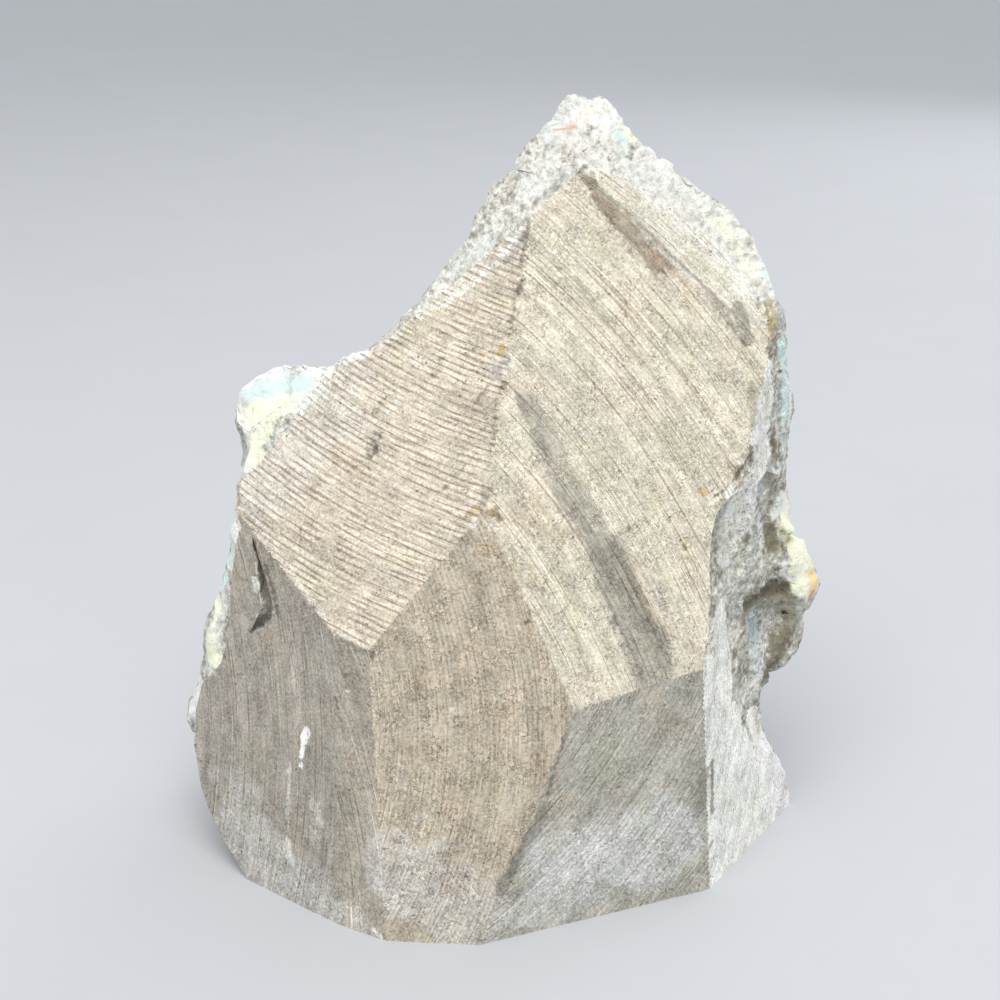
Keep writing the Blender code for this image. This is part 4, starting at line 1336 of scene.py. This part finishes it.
# The colour of each stain.
STAIN_COLOURS: dict[Stain, Colour] = {
    # The polished stripes, and also painted shade in a crease and painted shadow under a rim.
    Stain.SHADE: (0.315, 0.30, 0.25),
    Stain.CHALK: (0.79, 0.78, 0.72),
    Stain.OCHRE: (0.50, 0.39, 0.20),
    Stain.RUST: (0.56, 0.34, 0.21),
    Stain.QUARTZ: (0.86, 0.84, 0.84),
    Stain.CELADON: (0.66, 0.81, 0.76),
    Stain.BLUE: (0.52, 0.59, 0.60),
    Stain.CREAM: (0.86, 0.86, 0.67),
    # Olive, and also olive painted shade under the arch.
    Stain.OLIVE: (0.25, 0.23, 0.15),
    Stain.LILAC: (0.42, 0.395, 0.36),
    Stain.TAN: (0.33, 0.275, 0.21),
    Stain.HAZE: (0.66, 0.665, 0.655),
    Stain.SPECKLE: (0.235, 0.20, 0.145),
    Stain.AMBER: (0.90, 0.66, 0.34),
    # Dark pits, and also painted shade under the arch, in the vug and under a broken step.
    Stain.PIT: (0.17, 0.145, 0.115),
}


# A stain is made this much stronger, and then loses this much where the specks are lowest.
STAIN_GAIN = 1.5
STAIN_LOSS = 0.55


def add_stains_and_shade(shader: Shader, colour: Socket, stains: Iterable[Stain], speck: Socket) -> Socket:
    """Lays stains and painted shade over a colour, each broken up by specks.

    Args:
        shader: the material.
        colour: what is under the stains.
        stains: which ones, from the lowest.
        speck: fine noise from 0 to 1.

    Returns:
        The stained colour.
    """
    for stain in stains:
        mask = shader.attribute(stain.value)
        broken = (mask * STAIN_GAIN - (1 - speck) * STAIN_LOSS).clamped() * mask
        colour = shader.mix(broken.clamped(), colour, STAIN_COLOURS[stain])
    return colour


@dataclass(frozen=True)
class SawnBasaltFinish:
    """Fine-grained basalt, dulled by saw dust, with the blade's marks over it: painted shade in their grooves
    and painted highlight on their ridges.
    """

    roughness: float = 0.9
    # The colour that darkens the grooves as painted shade, and the one that lightens the ridges as painted
    # highlight; they also darken the scratches and dark grains and lighten the glints and pale grains.
    groove: Colour = (0.56, 0.48, 0.40)
    ridge: Colour = (1.28, 1.28, 1.28)
    cool: Colour = (0.93, 0.965, 0.87)
    warm: Colour = (1.0, 0.935, 0.885)
    pock: Colour = (0.20, 0.165, 0.12)
    grain_size: float = 0.45
    swirl_size: float = 0.85
    relief: float = 0.16

    # The stains that show on sawn stone, from the lowest.
    STAINS: ClassVar[tuple[Stain, ...]] = (
        Stain.LILAC, Stain.TAN, Stain.SHADE, Stain.RUST, Stain.OCHRE, Stain.CHALK, Stain.OLIVE, Stain.QUARTZ)

    def dress(self) -> bpy.types.Material:
        """The material."""
        s = Shader("sawn basalt")
        place = s.place()
        across, along, cut, pitch, even, lined, worms = (s.attribute(name) for name in BLADE_MARKS)

        def sheet(width: float, length: float, shift: float) -> Socket:
            """Coordinates that stretch a texture along the blade's sweep."""
            return s.vector(across * (1 / width), along * (1 / length), cut * 3.7 + shift)

        def band(width: float, length: float, shift: float, detail: float = 1.0) -> Socket:
            """Noise drawn out along the blade's sweep."""
            return s.noise(sheet(width, length, shift), 1.0, detail, 0.5)

        wander = band(9.0, 70.0, 0.3)
        phase = across / pitch + (wander - 0.5) * 2.4 + (band(1.1, 9.0, 6.6) - 0.5) * 0.8
        wave = (phase * math.pi).sine().size()
        patchy = band(1.3, 4.5, 2.1, 2.0) * 0.6 + s.noise(place, 5.0 * MM, 2.0, 0.6) * 0.4
        even = even * patchy.step(0.38, 0.58)
        # Painted shade in the blade's grooves and painted highlight on its ridges.
        grooves = wave.step(0.50, 0.10) * even
        ridges = wave.step(0.55, 0.95) * even
        scratch = band(0.34, 24.0, 5.2)
        strip = band(2.6, 40.0, 7.9)
        cuts = scratch.step(0.385, 0.30) * lined * strip.step(0.36, 0.56)
        glints = band(0.42, 26.0, 9.4).step(0.60, 0.70) * lined
        hair = band(0.16, 5.0, 4.4)
        grain = s.noise(place, self.grain_size * MM, 1.5, 0.6)
        swirl = s.noise(place, self.swirl_size * MM, 1.0, 0.6, 0.8)
        region = s.noise(place, 3.0 * MM, 2.0, 0.6).step(0.36, 0.60) * worms
        worm = (swirl - 0.48).size().step(0.05, 0.0) * region
        bright = (swirl - 0.57).size().step(0.05, 0.0) * region
        cloud = s.noise(place, 3.4 * MM, 3.0, 0.62)
        broad = s.noise(place, 12 * MM, 2.0, 0.5)
        hue = s.noise(s.vector(across * 0.16, along * 0.10, cut * 2.3), 1.0, 3.0, 0.65)

        colour = s.colour_attribute("tint")
        broken = s.noise(place, 0.9 * MM, 3.0, 0.7)
        fleck = broken.step(0.3, 0.7)
        speck = fleck * 0.55 + band(0.6, 8.0, 1.6, 2.0).step(0.35, 0.65) * 0.45
        colour = add_stains_and_shade(s, colour, self.STAINS, speck)
        colour = s.mix(s.attribute(Stain.HAZE.value) * (fleck * 0.5 + 0.6), colour, STAIN_COLOURS[Stain.HAZE])
        colour = s.mix(hue.step(0.53, 0.68) * 0.7, colour, self.cool, "MULTIPLY")
        colour = s.mix(hue.step(0.46, 0.30) * 0.8, colour, self.warm, "MULTIPLY")
        light = (strip - 0.5) * 0.62 + (hair - 0.5) * 0.7 + (grain - 0.5) * 1.25 + (cloud - 0.5) * 0.8
        colour = s.scaled(colour, light + (broad - 0.5) * 0.35 + 1.02)
        # Painted highlight on the ridges and glints, with pale grains.
        highlighted_and_pale = s.mix(1.0, colour, self.ridge, "MULTIPLY")
        colour = s.mix((ridges * 0.75 + glints * 1.3 + bright * 0.6).clamped(), colour, highlighted_and_pale)
        # Painted shade in the grooves, with dark scratches and grains.
        shaded_and_dark = s.mix(1.0, colour, self.groove, "MULTIPLY")
        colour = s.mix((grooves * 0.50 + cuts * 0.65 + worm * 0.75).clamped(), colour, shaded_and_dark)
        pocks = s.cells(place, 1.5 * MM).step(0.20, 0.08) * s.noise(place, 3 * MM).step(0.50, 0.60)
        colour = s.mix(pocks * 0.6, colour, self.pock)
        pit = s.attribute(Stain.PIT.value)
        pitted_and_shaded = (pit * 1.6 - (1 - broken.step(0.35, 0.65)) * 1.1).clamped()
        colour = s.mix(pitted_and_shaded * 0.85, colour, STAIN_COLOURS[Stain.PIT])
        height = ridges * 0.5 - grooves * 1.0 - cuts * 0.8 + glints * 0.6 - worm * 0.5 - pocks * 1.0 - pitted_and_shaded
        height = height + (grain - 0.5) * 0.9 + (hair - 0.5) * 0.5
        rough = (hair - 0.5) * 0.2 + self.roughness - s.attribute(Stain.SHADE.value) * 0.12
        return s.finish({"Base Color": colour, "Roughness": rough.clamped(), "Specular IOR Level": 0.25,
                         "Normal": s.bump(height, self.relief * MM)})


@dataclass(frozen=True)
class RindFinish:
    """The unsawn skin: weathered rind, agate and chalcedony, with banded agate on the display side."""

    base: Colour = (0.54, 0.515, 0.45)
    pale: Colour = (0.78, 0.765, 0.70)
    dark: Colour = (0.25, 0.22, 0.17)
    cool: Colour = (0.50, 0.56, 0.54)
    rusty: Colour = (0.42, 0.33, 0.20)
    blue_ring: Colour = (0.52, 0.56, 0.60)
    white_ring: Colour = (0.80, 0.80, 0.79)
    tan_ring: Colour = (0.66, 0.60, 0.52)
    inner_ring: Colour = (0.84, 0.82, 0.84)
    outer_ring: Colour = (0.42, 0.56, 0.50)
    roughness: float = 0.72
    grain_size: float = 0.55
    crumb_size: float = 1.15
    lump_size: float = 3.6
    relief: float = 0.6

    # The stains that show on unsawn stone, from the lowest.
    STAINS: ClassVar[tuple[Stain, ...]] = (
        Stain.CHALK, Stain.LILAC, Stain.BLUE, Stain.OLIVE, Stain.CREAM, Stain.CELADON, Stain.OCHRE,
        Stain.AMBER, Stain.RUST, Stain.QUARTZ, Stain.SHADE, Stain.PIT)

    def dress(self) -> bpy.types.Material:
        """The material."""
        s = Shader("rind and agate")
        place = s.node("ShaderNodeVectorMath", {"operation": "MULTIPLY"}, {0: s.place(), 1: SIDEWAYS})
        chalky = s.attribute(Stain.CHALK.value).clamped()
        grain = s.noise(place, self.grain_size * MM, 3.0, 0.65)
        crumb = s.noise(place, self.crumb_size * MM, 3.0, 0.62)
        lumps = s.noise(place, self.lump_size * MM, 3.0, 0.6)
        broad = s.noise(place, 9 * MM, 2.0, 0.5)
        uneven = crumb * 0.65 + lumps * 0.35
        colour = s.mix(uneven.step(0.50, 0.60) * 0.85, self.base, self.pale)
        colour = s.mix(uneven.step(0.49, 0.41) * 0.85, colour, self.dark)
        colour = s.mix(broad.step(0.50, 0.62) * 0.45, colour, self.cool)
        blotch = s.noise(place, 4 * MM, 3.0, 0.7, 0.6).step(0.58, 0.70)
        colour = s.mix(blotch * 0.5, colour, self.rusty)
        colour = s.scaled(colour, (grain - 0.5) * 1.1 + 1.0)
        band = s.attribute("band")
        wobble = band + (s.noise(place, 4 * MM) - 0.5) * 0.9
        rings = (wobble * 7.5).sine() * 0.5 + 0.5
        agate = s.mix(rings, self.blue_ring, self.white_ring)
        agate = s.mix((wobble * 17.0).sine().step(0.55, 0.9) * 0.4, agate, self.tan_ring)
        agate = s.mix(wobble.step(1.6, 0.2), agate, self.inner_ring)
        agate = s.mix(wobble.step(4.4, 5.6), agate, self.outer_ring)
        colour = s.mix((s.attribute("display") * wobble.step(7.2, 5.8)).clamped(), colour, agate)
        speck = grain.step(0.3, 0.7) * 0.5 + crumb.step(0.40, 0.60) * 0.5
        colour = add_stains_and_shade(s, colour, self.STAINS, speck)
        dots = s.noise(place, 0.75 * MM, 3.0, 0.65, 0.8)
        speckled = s.attribute(Stain.SPECKLE.value) * dots.step(0.50, 0.40)
        colour = s.mix((speckled * 0.85).clamped(), colour, STAIN_COLOURS[Stain.SPECKLE])
        colour = s.scaled(colour, (crumb + grain - 1.0) * (0.5 - chalky * 0.22) + 1.0)
        height = ((grain - 0.5) * 0.7 + (crumb - 0.5) * 1.2 + (lumps - 0.5) * 0.5) * (1.0 - chalky * 0.5)
        rough = (grain - 0.5) * 0.3 + self.roughness - s.attribute("display") * 0.25
        return s.finish({"Base Color": colour, "Roughness": rough.clamped(), "Specular IOR Level": 0.4,
                         "Normal": s.bump(height, self.relief * MM)})


@dataclass(frozen=True)
class AmethystFinish:
    """Clear violet quartz."""

    body: Colour = (0.86, 0.78, 0.95)
    absorbed: Colour = (0.42, 0.16, 0.72)
    density: float = 130.0
    deep: Colour = (0.62, 0.46, 0.86)
    refraction: float = 1.544
    transmission: float = 0.85

    def dress(self) -> bpy.types.Material:
        """The material."""
        s = Shader("amethyst")
        place = s.place()
        cloud = s.noise(place, 6 * MM, 3.0, 0.6)
        vein = s.noise(place, 1.5 * MM, 3.0, 0.7)
        colour = s.mix(cloud.step(0.35, 0.7), self.body, self.deep)
        volume = s.node("ShaderNodeVolumeAbsorption", None, {"Color": self.absorbed, "Density": self.density})
        return s.finish({"Base Color": colour, "Roughness": vein.step(0.5, 0.9) * 0.12 + 0.03,
                         "IOR": self.refraction, "Transmission Weight": self.transmission,
                         "Normal": s.bump(vein, 0.05 * MM)}, volume)


@dataclass(frozen=True)
class PaleFloorFinish:
    """A plain pale floor."""

    colour: Colour = (0.52, 0.53, 0.55)

    def dress(self) -> bpy.types.Material:
        """The material."""
        s = Shader("pale floor")
        cloud = s.noise(s.place(), 0.05, 4.0, 0.6)
        shade = s.scaled(self.colour, cloud * 0.06 + 0.97)
        return s.finish({"Base Color": shade, "Roughness": 0.75, "Specular IOR Level": 0.3})


def points_of(source: bpy.types.Object) -> Array:
    """The points of a mesh object, in millimetres."""
    return np.array([v.co for v in source.data.vertices], float) / MM


def put(name: str, data: bpy.types.ID) -> bpy.types.Object:
    """A new object in the scene."""
    made = bpy.data.objects.new(name, data)
    bpy.context.scene.collection.objects.link(made)
    return made


def renumber(edges: Array) -> tuple[Array, Array]:
    """The points that edges use, and the edges by their places among those."""
    used, local = np.unique(edges, return_inverse=True)
    return used, local.reshape(-1, 2)


def make_object(name: str, points: Array, faces: Array, slots: Array,
                materials: Sequence[bpy.types.Material]) -> bpy.types.Object:
    """A mesh object from arrays.

    Args:
        name: the piece's name.
        points: its points in millimetres.
        faces: its triangles.
        slots: the number of each triangle's material.
        materials: the materials.

    Returns:
        The object, in the scene.
    """
    mesh = bpy.data.meshes.new(name)
    mesh.from_pydata((points * MM).tolist(), [], faces.tolist())
    for material in materials:
        mesh.materials.append(material)
    mesh.polygons.foreach_set("material_index", slots.astype(np.int32))
    mesh.update()
    return put(name, mesh)


# Points of a mesh this near to each other, in millimetres, become one.
TOUCHING = 0.004
# A pinhole has no more sides than this, and torn places are cut out and filled this many times.
PINHOLE_SIDES = 12
MENDINGS = 4


def close_gaps(made: bpy.types.Object) -> None:
    """Merges points that touch, and closes the last pinholes and pinched edges of a mesh."""
    shape = bmesh.new()
    shape.from_mesh(made.data)
    bmesh.ops.remove_doubles(shape, verts=shape.verts[:], dist=TOUCHING * MM)
    bmesh.ops.dissolve_degenerate(shape, dist=TOUCHING / 2 * MM, edges=shape.edges[:])
    open_edges = [e for e in shape.edges if e.is_boundary]
    bmesh.ops.holes_fill(shape, edges=open_edges, sides=PINHOLE_SIDES)
    for _ in range(MENDINGS):
        ragged = [e for e in shape.edges if not e.is_manifold]
        torn = dict.fromkeys(f for e in ragged for v in e.verts for f in v.link_faces)
        bmesh.ops.delete(shape, geom=list(torn), context="FACES")
        bmesh.ops.holes_fill(shape, edges=[e for e in shape.edges if e.is_boundary], sides=0)
        bmesh.ops.triangulate(shape, faces=[f for f in shape.faces if len(f.verts) > 3])
    shape.to_mesh(made.data)
    shape.free()


def set_numbers(made: bpy.types.Object, name: str, values: Array, domain: str = "POINT") -> None:
    """Puts a number on each point, or each corner, of a mesh."""
    layer = made.data.attributes.new(name, "FLOAT", domain)
    layer.data.foreach_set("value", values.astype(np.float32))


@dataclass
class Stone:
    """The basalt shard with its agate skin, in one piece."""

    back: SawnBack = field(default_factory=SawnBack)
    skin: NaturalSkin = field(default_factory=NaturalSkin)
    foot_spacing: float = 2.5
    foot_clearance: float = 0.8
    behind_by: float = 0.05
    below_cut: float = 0.02
    peak: tuple[float, float] = (106.0, 112.0)
    lump_share: float = 0.88
    front_y: float = 37.4
    flattening: float = 0.75
    crease_angle: float = 38.0
    band_limits: tuple[float, float] = (-2.0, 12.0)
    display_start: tuple[float, float] = (29.0, 32.0)

    # The numbers of the stone's two materials.
    SAWN: ClassVar[int] = 0
    RIND: ClassVar[int] = 1

    def build(self, source: bpy.types.Object) -> bpy.types.Object:
        """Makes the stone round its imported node.

        Args:
            source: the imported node.

        Returns:
            The dressed piece.
        """
        rough = self.skin.cut_free(source, self.back)
        self.skin.refine(rough)
        points, skin_faces, rim = self.skin.arrays(rough)
        rough.free()
        fixed = np.zeros(len(points), bool)
        fixed[rim] = True
        depth_before = points @ OUT
        a, b = points @ RIGHT, points @ RISE
        behind = depth_before <= self.back.flat_depths(a, b).min(axis=0) + self.behind_by
        points = self.skin.relax(points, skin_faces, fixed)
        packed_faces = [p.vertices[:] for p in source.data.polygons]
        cover = Cover(Landing(points_of(source), packed_faces).lay(PATCHES))
        points = self.skin.roughen(points, skin_faces, fixed, cover)

        on_floor = (points[rim, 2] < ON_FLOOR).all(axis=1)
        floor_rim, sawn_rim = rim[on_floor], rim[~on_floor]
        corners = np.intersect1d(floor_rim, sawn_rim)
        edge = np.setdiff1d(sawn_rim, floor_rim)
        a, b = points[edge] @ RIGHT, points[edge] @ RISE
        points[edge] = self.back.points(a, b, self.back.surface(a, b)[0])
        corners = corners[np.argsort(points[corners, 0])]
        log.info("the foot's edge meets the rind at %s", np.round(points[corners], 1).tolist())
        x0, x1 = points[corners[0], 0], points[corners[-1], 0]
        x = np.linspace(x0, x1, int((x1 - x0) / self.back.foot_spacing) + 1)
        along = self.back.foot_edge(x)
        line = self.back.points(x, along, self.back.surface(x, along)[0])
        line[:, 2] = 0.0
        points[[corners[0], corners[-1]]] = line[[0, -1]]

        a, b = points @ RIGHT, points @ RISE
        over = points @ OUT - (self.back.surface(a, b)[0] - self.below_cut)
        lowered = np.where(behind, 1.0, self.lump_share * smooth(*self.peak, points[:, 2]))
        lowered = np.where(fixed | (over < 0), 0.0, lowered * over)
        points -= lowered[:, None] * OUT
        points[:, 1] -= self.flattening * np.maximum(points[:, 1] - self.front_y, 0)
        points += sum(nudge.push(points) for nudge in KNOBS)

        count = len(points)
        points = np.vstack([points, line[1:-1]])
        chain = np.concatenate([[corners[0]], np.arange(count, len(points)), [corners[-1]]])
        chain_edges = np.column_stack([chain[:-1], chain[1:]])

        points, sawn_faces = self.fill_back(points, np.vstack([sawn_rim, chain_edges]), cover)
        points, foot_faces = self.fill_foot(points, np.vstack([floor_rim, chain_edges]))
        faces = np.vstack([skin_faces, sawn_faces, foot_faces])
        slots = np.repeat([self.RIND, self.SAWN], [len(skin_faces), len(sawn_faces) + len(foot_faces)])
        materials = (SawnBasaltFinish().dress(), RindFinish().dress())
        made = make_object("geode_stone", points, faces, slots, materials)
        close_gaps(made)
        self.mark(made)
        made.data.polygons.foreach_set("use_smooth", np.ones(len(made.data.polygons), bool))
        made.data.set_sharp_from_angle(angle=math.radians(self.crease_angle))
        log.info("geode_stone: %d triangles", len(made.data.polygons))
        return made

    def fill_back(self, points: Array, edges: Array, cover: Cover) -> tuple[Array, Array]:
        """Adds the sawn faces.

        Args:
            points: the stone's points so far.
            edges: the open edges round the sawn faces.
            cover: the worn places.

        Returns:
            The points with the new ones after them, and the new triangles.
        """
        used, local = renumber(edges)
        outline = np.column_stack([points[used] @ RIGHT, points[used] @ RISE])
        inner = self.back.inner_places(outline, local)
        depth, _ = self.back.surface(*inner.T)
        new = self.back.points(*inner.T, depth)
        new += cover.lift(new)[:, None] * OUT
        faces = triangulate(outline, local, inner)
        numbers = np.concatenate([used, np.arange(len(points), len(points) + len(inner))])
        return np.vstack([points, new]), numbers[faces]

    def fill_foot(self, points: Array, edges: Array) -> tuple[Array, Array]:
        """Adds the flat foot, as fill_back does the sawn faces."""
        used, local = renumber(edges)
        outline = points[used][:, :2]
        low, high = outline.min(axis=0), outline.max(axis=0)
        rows = [np.arange(low[k], high[k], self.foot_spacing) for k in (0, 1)]
        grid = np.stack(np.meshgrid(*rows), axis=-1).reshape(-1, 2)
        grid = grid[inside(grid, outline[local])]
        grid = grid[Lookup(outline).distance(grid) > self.foot_clearance]
        faces = triangulate(outline, local, grid)[:, ::-1]
        numbers = np.concatenate([used, np.arange(len(points), len(points) + len(grid))])
        return np.vstack([points, np.column_stack([grid, np.zeros(len(grid))])]), numbers[faces]

    def mark(self, made: bpy.types.Object) -> None:
        """Puts the marks, tints and stains on the stone, and parts its raw faces from its sawn ones."""
        points = points_of(made)
        faces = np.array([p.vertices[:] for p in made.data.polygons])
        slots = np.zeros(len(faces), np.int32)
        made.data.polygons.foreach_get("material_index", slots)
        middles = points[faces].mean(axis=1)
        first = self.back.flat_depths(middles @ RIGHT, middles @ RISE).argmin(axis=0)
        first[(points[faces][:, :, 2] < ON_FLOOR).all(axis=1)] = Cut.FOOT.value
        cover = Cover(Landing(points, faces).lay(PATCHES))
        masks = {stain: cover.mask(points, stain) for stain in Stain}
        raw = masks[Stain.RAW][faces].mean(axis=1) > 0.5
        corners = {name: np.zeros(faces.shape) for name in BLADE_MARKS}
        tint = np.zeros((*faces.shape, 4))
        for cut in (*self.back.cuts, FOOT_CUT):
            rows = first == cut.cut.value
            across, along = cut.place(points[faces[rows]].reshape(-1, 3))
            sweep = (across.reshape(-1, 3), along.reshape(-1, 3))
            numbers = (*sweep, cut.cut.value, cut.pitch, cut.even, cut.lined, cut.worms)
            for name, value in zip(corners, numbers):
                corners[name][rows] = value
            tint[rows] = (*cut.tint, 1.0)
            if cut.natural:
                slots[rows & (slots == self.SAWN)] = self.RIND
        spared = np.isin(first, [Cut.FOOT.value, Cut.BACK_RIGHT_ROOF.value, Cut.BACK_RIGHT_FLANK.value])
        slots[raw & (slots == self.SAWN) & ~spared] = self.RIND
        slots[masks[Stain.SAWN][faces].mean(axis=1) > 0.5] = self.SAWN
        made.data.polygons.foreach_set("material_index", slots)
        for name, value in corners.items():
            set_numbers(made, name, value.ravel(), "CORNER")
        made.data.attributes.new("tint", "FLOAT_COLOR", "CORNER").data.foreach_set("color", tint.ravel())
        for stain, mask in masks.items():
            set_numbers(made, stain.value, mask)
        reach, hollow = self.skin.hollow.reach_at(points)
        set_numbers(made, "band", np.clip(reach - hollow, *self.band_limits))
        set_numbers(made, "display", smooth(*self.display_start, points[:, 1]))


@dataclass
class Crust:
    """The amethyst that lines the hollow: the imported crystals, with small ones grown in their dips."""

    hollow: Ring = field(default_factory=lambda: Ring(HOLLOW_OUTLINE))
    seed: int = 17
    tries: int = 3800
    half_widths: tuple[float, float] = (0.45, 1.5)
    spacing: float = 0.85
    dip: float = 0.55
    around: float = 3.2
    edge: float = 0.95
    rim: float = 0.88
    point: float = 1.45
    rise: float = 0.5
    root: float = 0.5
    span_x: tuple[float, float] = (-46.0, 44.0)
    span_z: tuple[float, float] = (8.0, 114.0)
    unevenness: float = 0.09
    tilt: float = 0.28
    slant: float = 0.15

    UNEVEN_NUMBERS: ClassVar[int] = 16

    def build(self, source: bpy.types.Object) -> bpy.types.Object:
        """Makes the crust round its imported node.

        Args:
            source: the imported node.

        Returns:
            The dressed piece.
        """
        points = points_of(source)
        source.data.calc_loop_triangles()
        faces = np.array([t.vertices[:] for t in source.data.loop_triangles])
        tree = BVHTree.FromPolygons(points.tolist(), faces.tolist())
        draw = np.random.default_rng(self.seed)
        groups, shapes, taken = [points], [faces], np.zeros((0, 3))
        for _ in range(self.tries):
            x, z = draw.uniform(*self.span_x), draw.uniform(*self.span_z)
            least, most = self.half_widths
            half = least + (most - least) * draw.random() ** 2
            numbers = draw.uniform(-1, 1, self.UNEVEN_NUMBERS)
            foot = self.foot(tree, x, z)
            apart = np.hypot(*(taken[:, :2] - (x, z)).T)
            if foot is None or np.any(apart < self.spacing * (half + taken[:, 2])):
                continue
            taken = np.vstack([taken, (x, z, half)])
            ring, sides = self.crystal(*foot, half, numbers)
            shapes.append(sides + sum(map(len, groups)))
            groups.append(ring)
        made = make_object("amethyst_crystals_dressed", np.vstack(groups), np.vstack(shapes),
                           np.zeros(sum(map(len, shapes))), (AmethystFinish().dress(),))
        log.info("%s: %d small crystals, %d triangles", made.name, len(taken), len(made.data.polygons))
        return made

    @staticmethod
    def look_in(tree: BVHTree, x: float, z: float) -> tuple[Vector | None, Vector | None]:
        """Where the crust lies, and which way it faces, seen from in front of the hollow."""
        return tree.ray_cast(Vector((x, 60, z)), Vector((0, -1, 0)))[:2]

    def foot(self, tree: BVHTree, x: float, z: float) -> tuple[Array, Array] | None:
        """Where a small crystal may stand, with the crust's direction there, or None if it is no dip."""
        reach, hollow = self.hollow.reach_at(np.array([(x, 0.0, z)]))
        if reach[0] > self.edge * hollow[0]:
            return None
        hit, normal = self.look_in(tree, x, z)
        if hit is None:
            return None
        ring = [(math.cos(k * math.pi / 4), math.sin(k * math.pi / 4)) for k in range(8)]
        near = [self.look_in(tree, x + self.around * u, z + self.around * v)[0] for u, v in ring]
        level = np.mean([n.y for n in near if n is not None] or [hit.y])
        if hit.y > level - self.dip and reach[0] < self.rim * hollow[0]:
            return None
        return np.array(hit), np.array(normal)

    def crystal(self, foot: Array, normal: Array, half: float, numbers: Array) -> tuple[Array, Array]:
        """A six-sided crystal with a pointed end.

        Args:
            foot: where it stands.
            normal: the crust's direction there.
            half: half its width.
            numbers: sixteen numbers from -1 to 1 that make it uneven.

        Returns:
            Its points and its triangles.
        """
        axis = unit((normal * 0.6 + (0.0, 0.7, 0.0) + numbers[:3] * self.tilt)[None])[0]
        across = unit(np.cross(axis, (0.31, 0.2, 0.93))[None])[0]
        up = np.cross(axis, across)
        angles = np.arange(6) * math.pi / 3 + numbers[3]
        girth = (np.cos(angles)[:, None] * across + np.sin(angles)[:, None] * up) * half
        girth *= 1 + self.unevenness * numbers[4:10, None]
        root = foot - axis * self.root + girth
        rise = half * self.rise * (1 + 0.6 * numbers[10])
        shoulder = foot + girth + axis * (rise + 0.12 * half * np.roll(numbers[4:10], 2)[:, None])
        aside = (across * numbers[11] + up * numbers[12]) * half * self.slant
        tip = foot + axis * (rise + half * self.point) + aside
        k = np.arange(6)
        after = (k + 1) % 6
        sides = [np.stack([after, k, np.full(6, 12)], 1), np.stack([k, after, after + 6], 1),
                 np.stack([k, after + 6, k + 6], 1), np.stack([k + 6, after + 6, np.full(6, 13)], 1)]
        return np.vstack([root, shoulder, foot - axis * self.root, tip]), np.vstack(sides)


@dataclass
class Studio:
    """The floor, the lights and the camera."""

    floor_half: float = 3000.0
    sky: float = 0.85
    sky_colour: Colour = (0.93, 0.965, 1.0)
    lamp_aim: Point = (0.0, 0.0, 50.0)
    clip: tuple[float, float] = (0.01, 20.0)
    lamps: tuple[tuple[str, Point, float, float, Colour], ...] = (
        ("overhead", (-60, -330, 900), 700, 6.0, (1.0, 0.985, 0.96)),
        ("front_fill", (500, 700, 500), 700, 1.8, (0.97, 0.98, 1.0)),
    )

    def build(self) -> None:
        """Makes the floor, the lights and the camera."""
        half = self.floor_half
        corners = np.array([(-half, -half, 0), (half, -half, 0), (half, half, 0), (-half, half, 0)])
        floor = make_object("floor", corners, np.array([[0, 1, 2], [0, 2, 3]]), np.zeros(2),
                            (PaleFloorFinish().dress(),))
        world = bpy.data.worlds.new("soft sky")
        world.use_nodes = True
        glow = world.node_tree.nodes["Background"].inputs
        glow["Color"].default_value = (*self.sky_colour, 1.0)
        glow["Strength"].default_value = self.sky
        bpy.context.scene.world = world
        for name, place, width, power, colour in self.lamps:
            light = bpy.data.lights.new(name, "AREA")
            light.size, light.energy, light.color = width * MM, power, colour
            lamp = put(name, light)
            lamp.location = Vector(place) * MM
            aim = Vector(self.lamp_aim) * MM - lamp.location
            lamp.rotation_euler = aim.to_track_quat("-Z", "Y").to_euler()
        data = bpy.data.cameras.new("camera")
        data.lens, data.sensor_width = EYE.lens, EYE.sensor
        data.clip_start, data.clip_end = self.clip
        camera = put("camera", data)
        camera.location = Vector(EYE.place) * MM
        camera.rotation_euler = (math.radians(EYE.tilt), 0, 0)
        bpy.context.scene.camera = camera
        bpy.context.scene.view_settings.view_transform = "Standard"


def main() -> None:
    """Builds the geode and its studio."""
    logging.basicConfig(level=logging.INFO, format="%(name)s: %(message)s")
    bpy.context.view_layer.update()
    stone = Stone().build(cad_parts["basalt_stone"])
    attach(stone, "root")
    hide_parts("basalt_stone")
    crust = Crust().build(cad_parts["amethyst_crystals"])
    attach(crust, "root")
    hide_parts("amethyst_crystals")
    Studio().build()


if __name__ == "__main__":
    main()
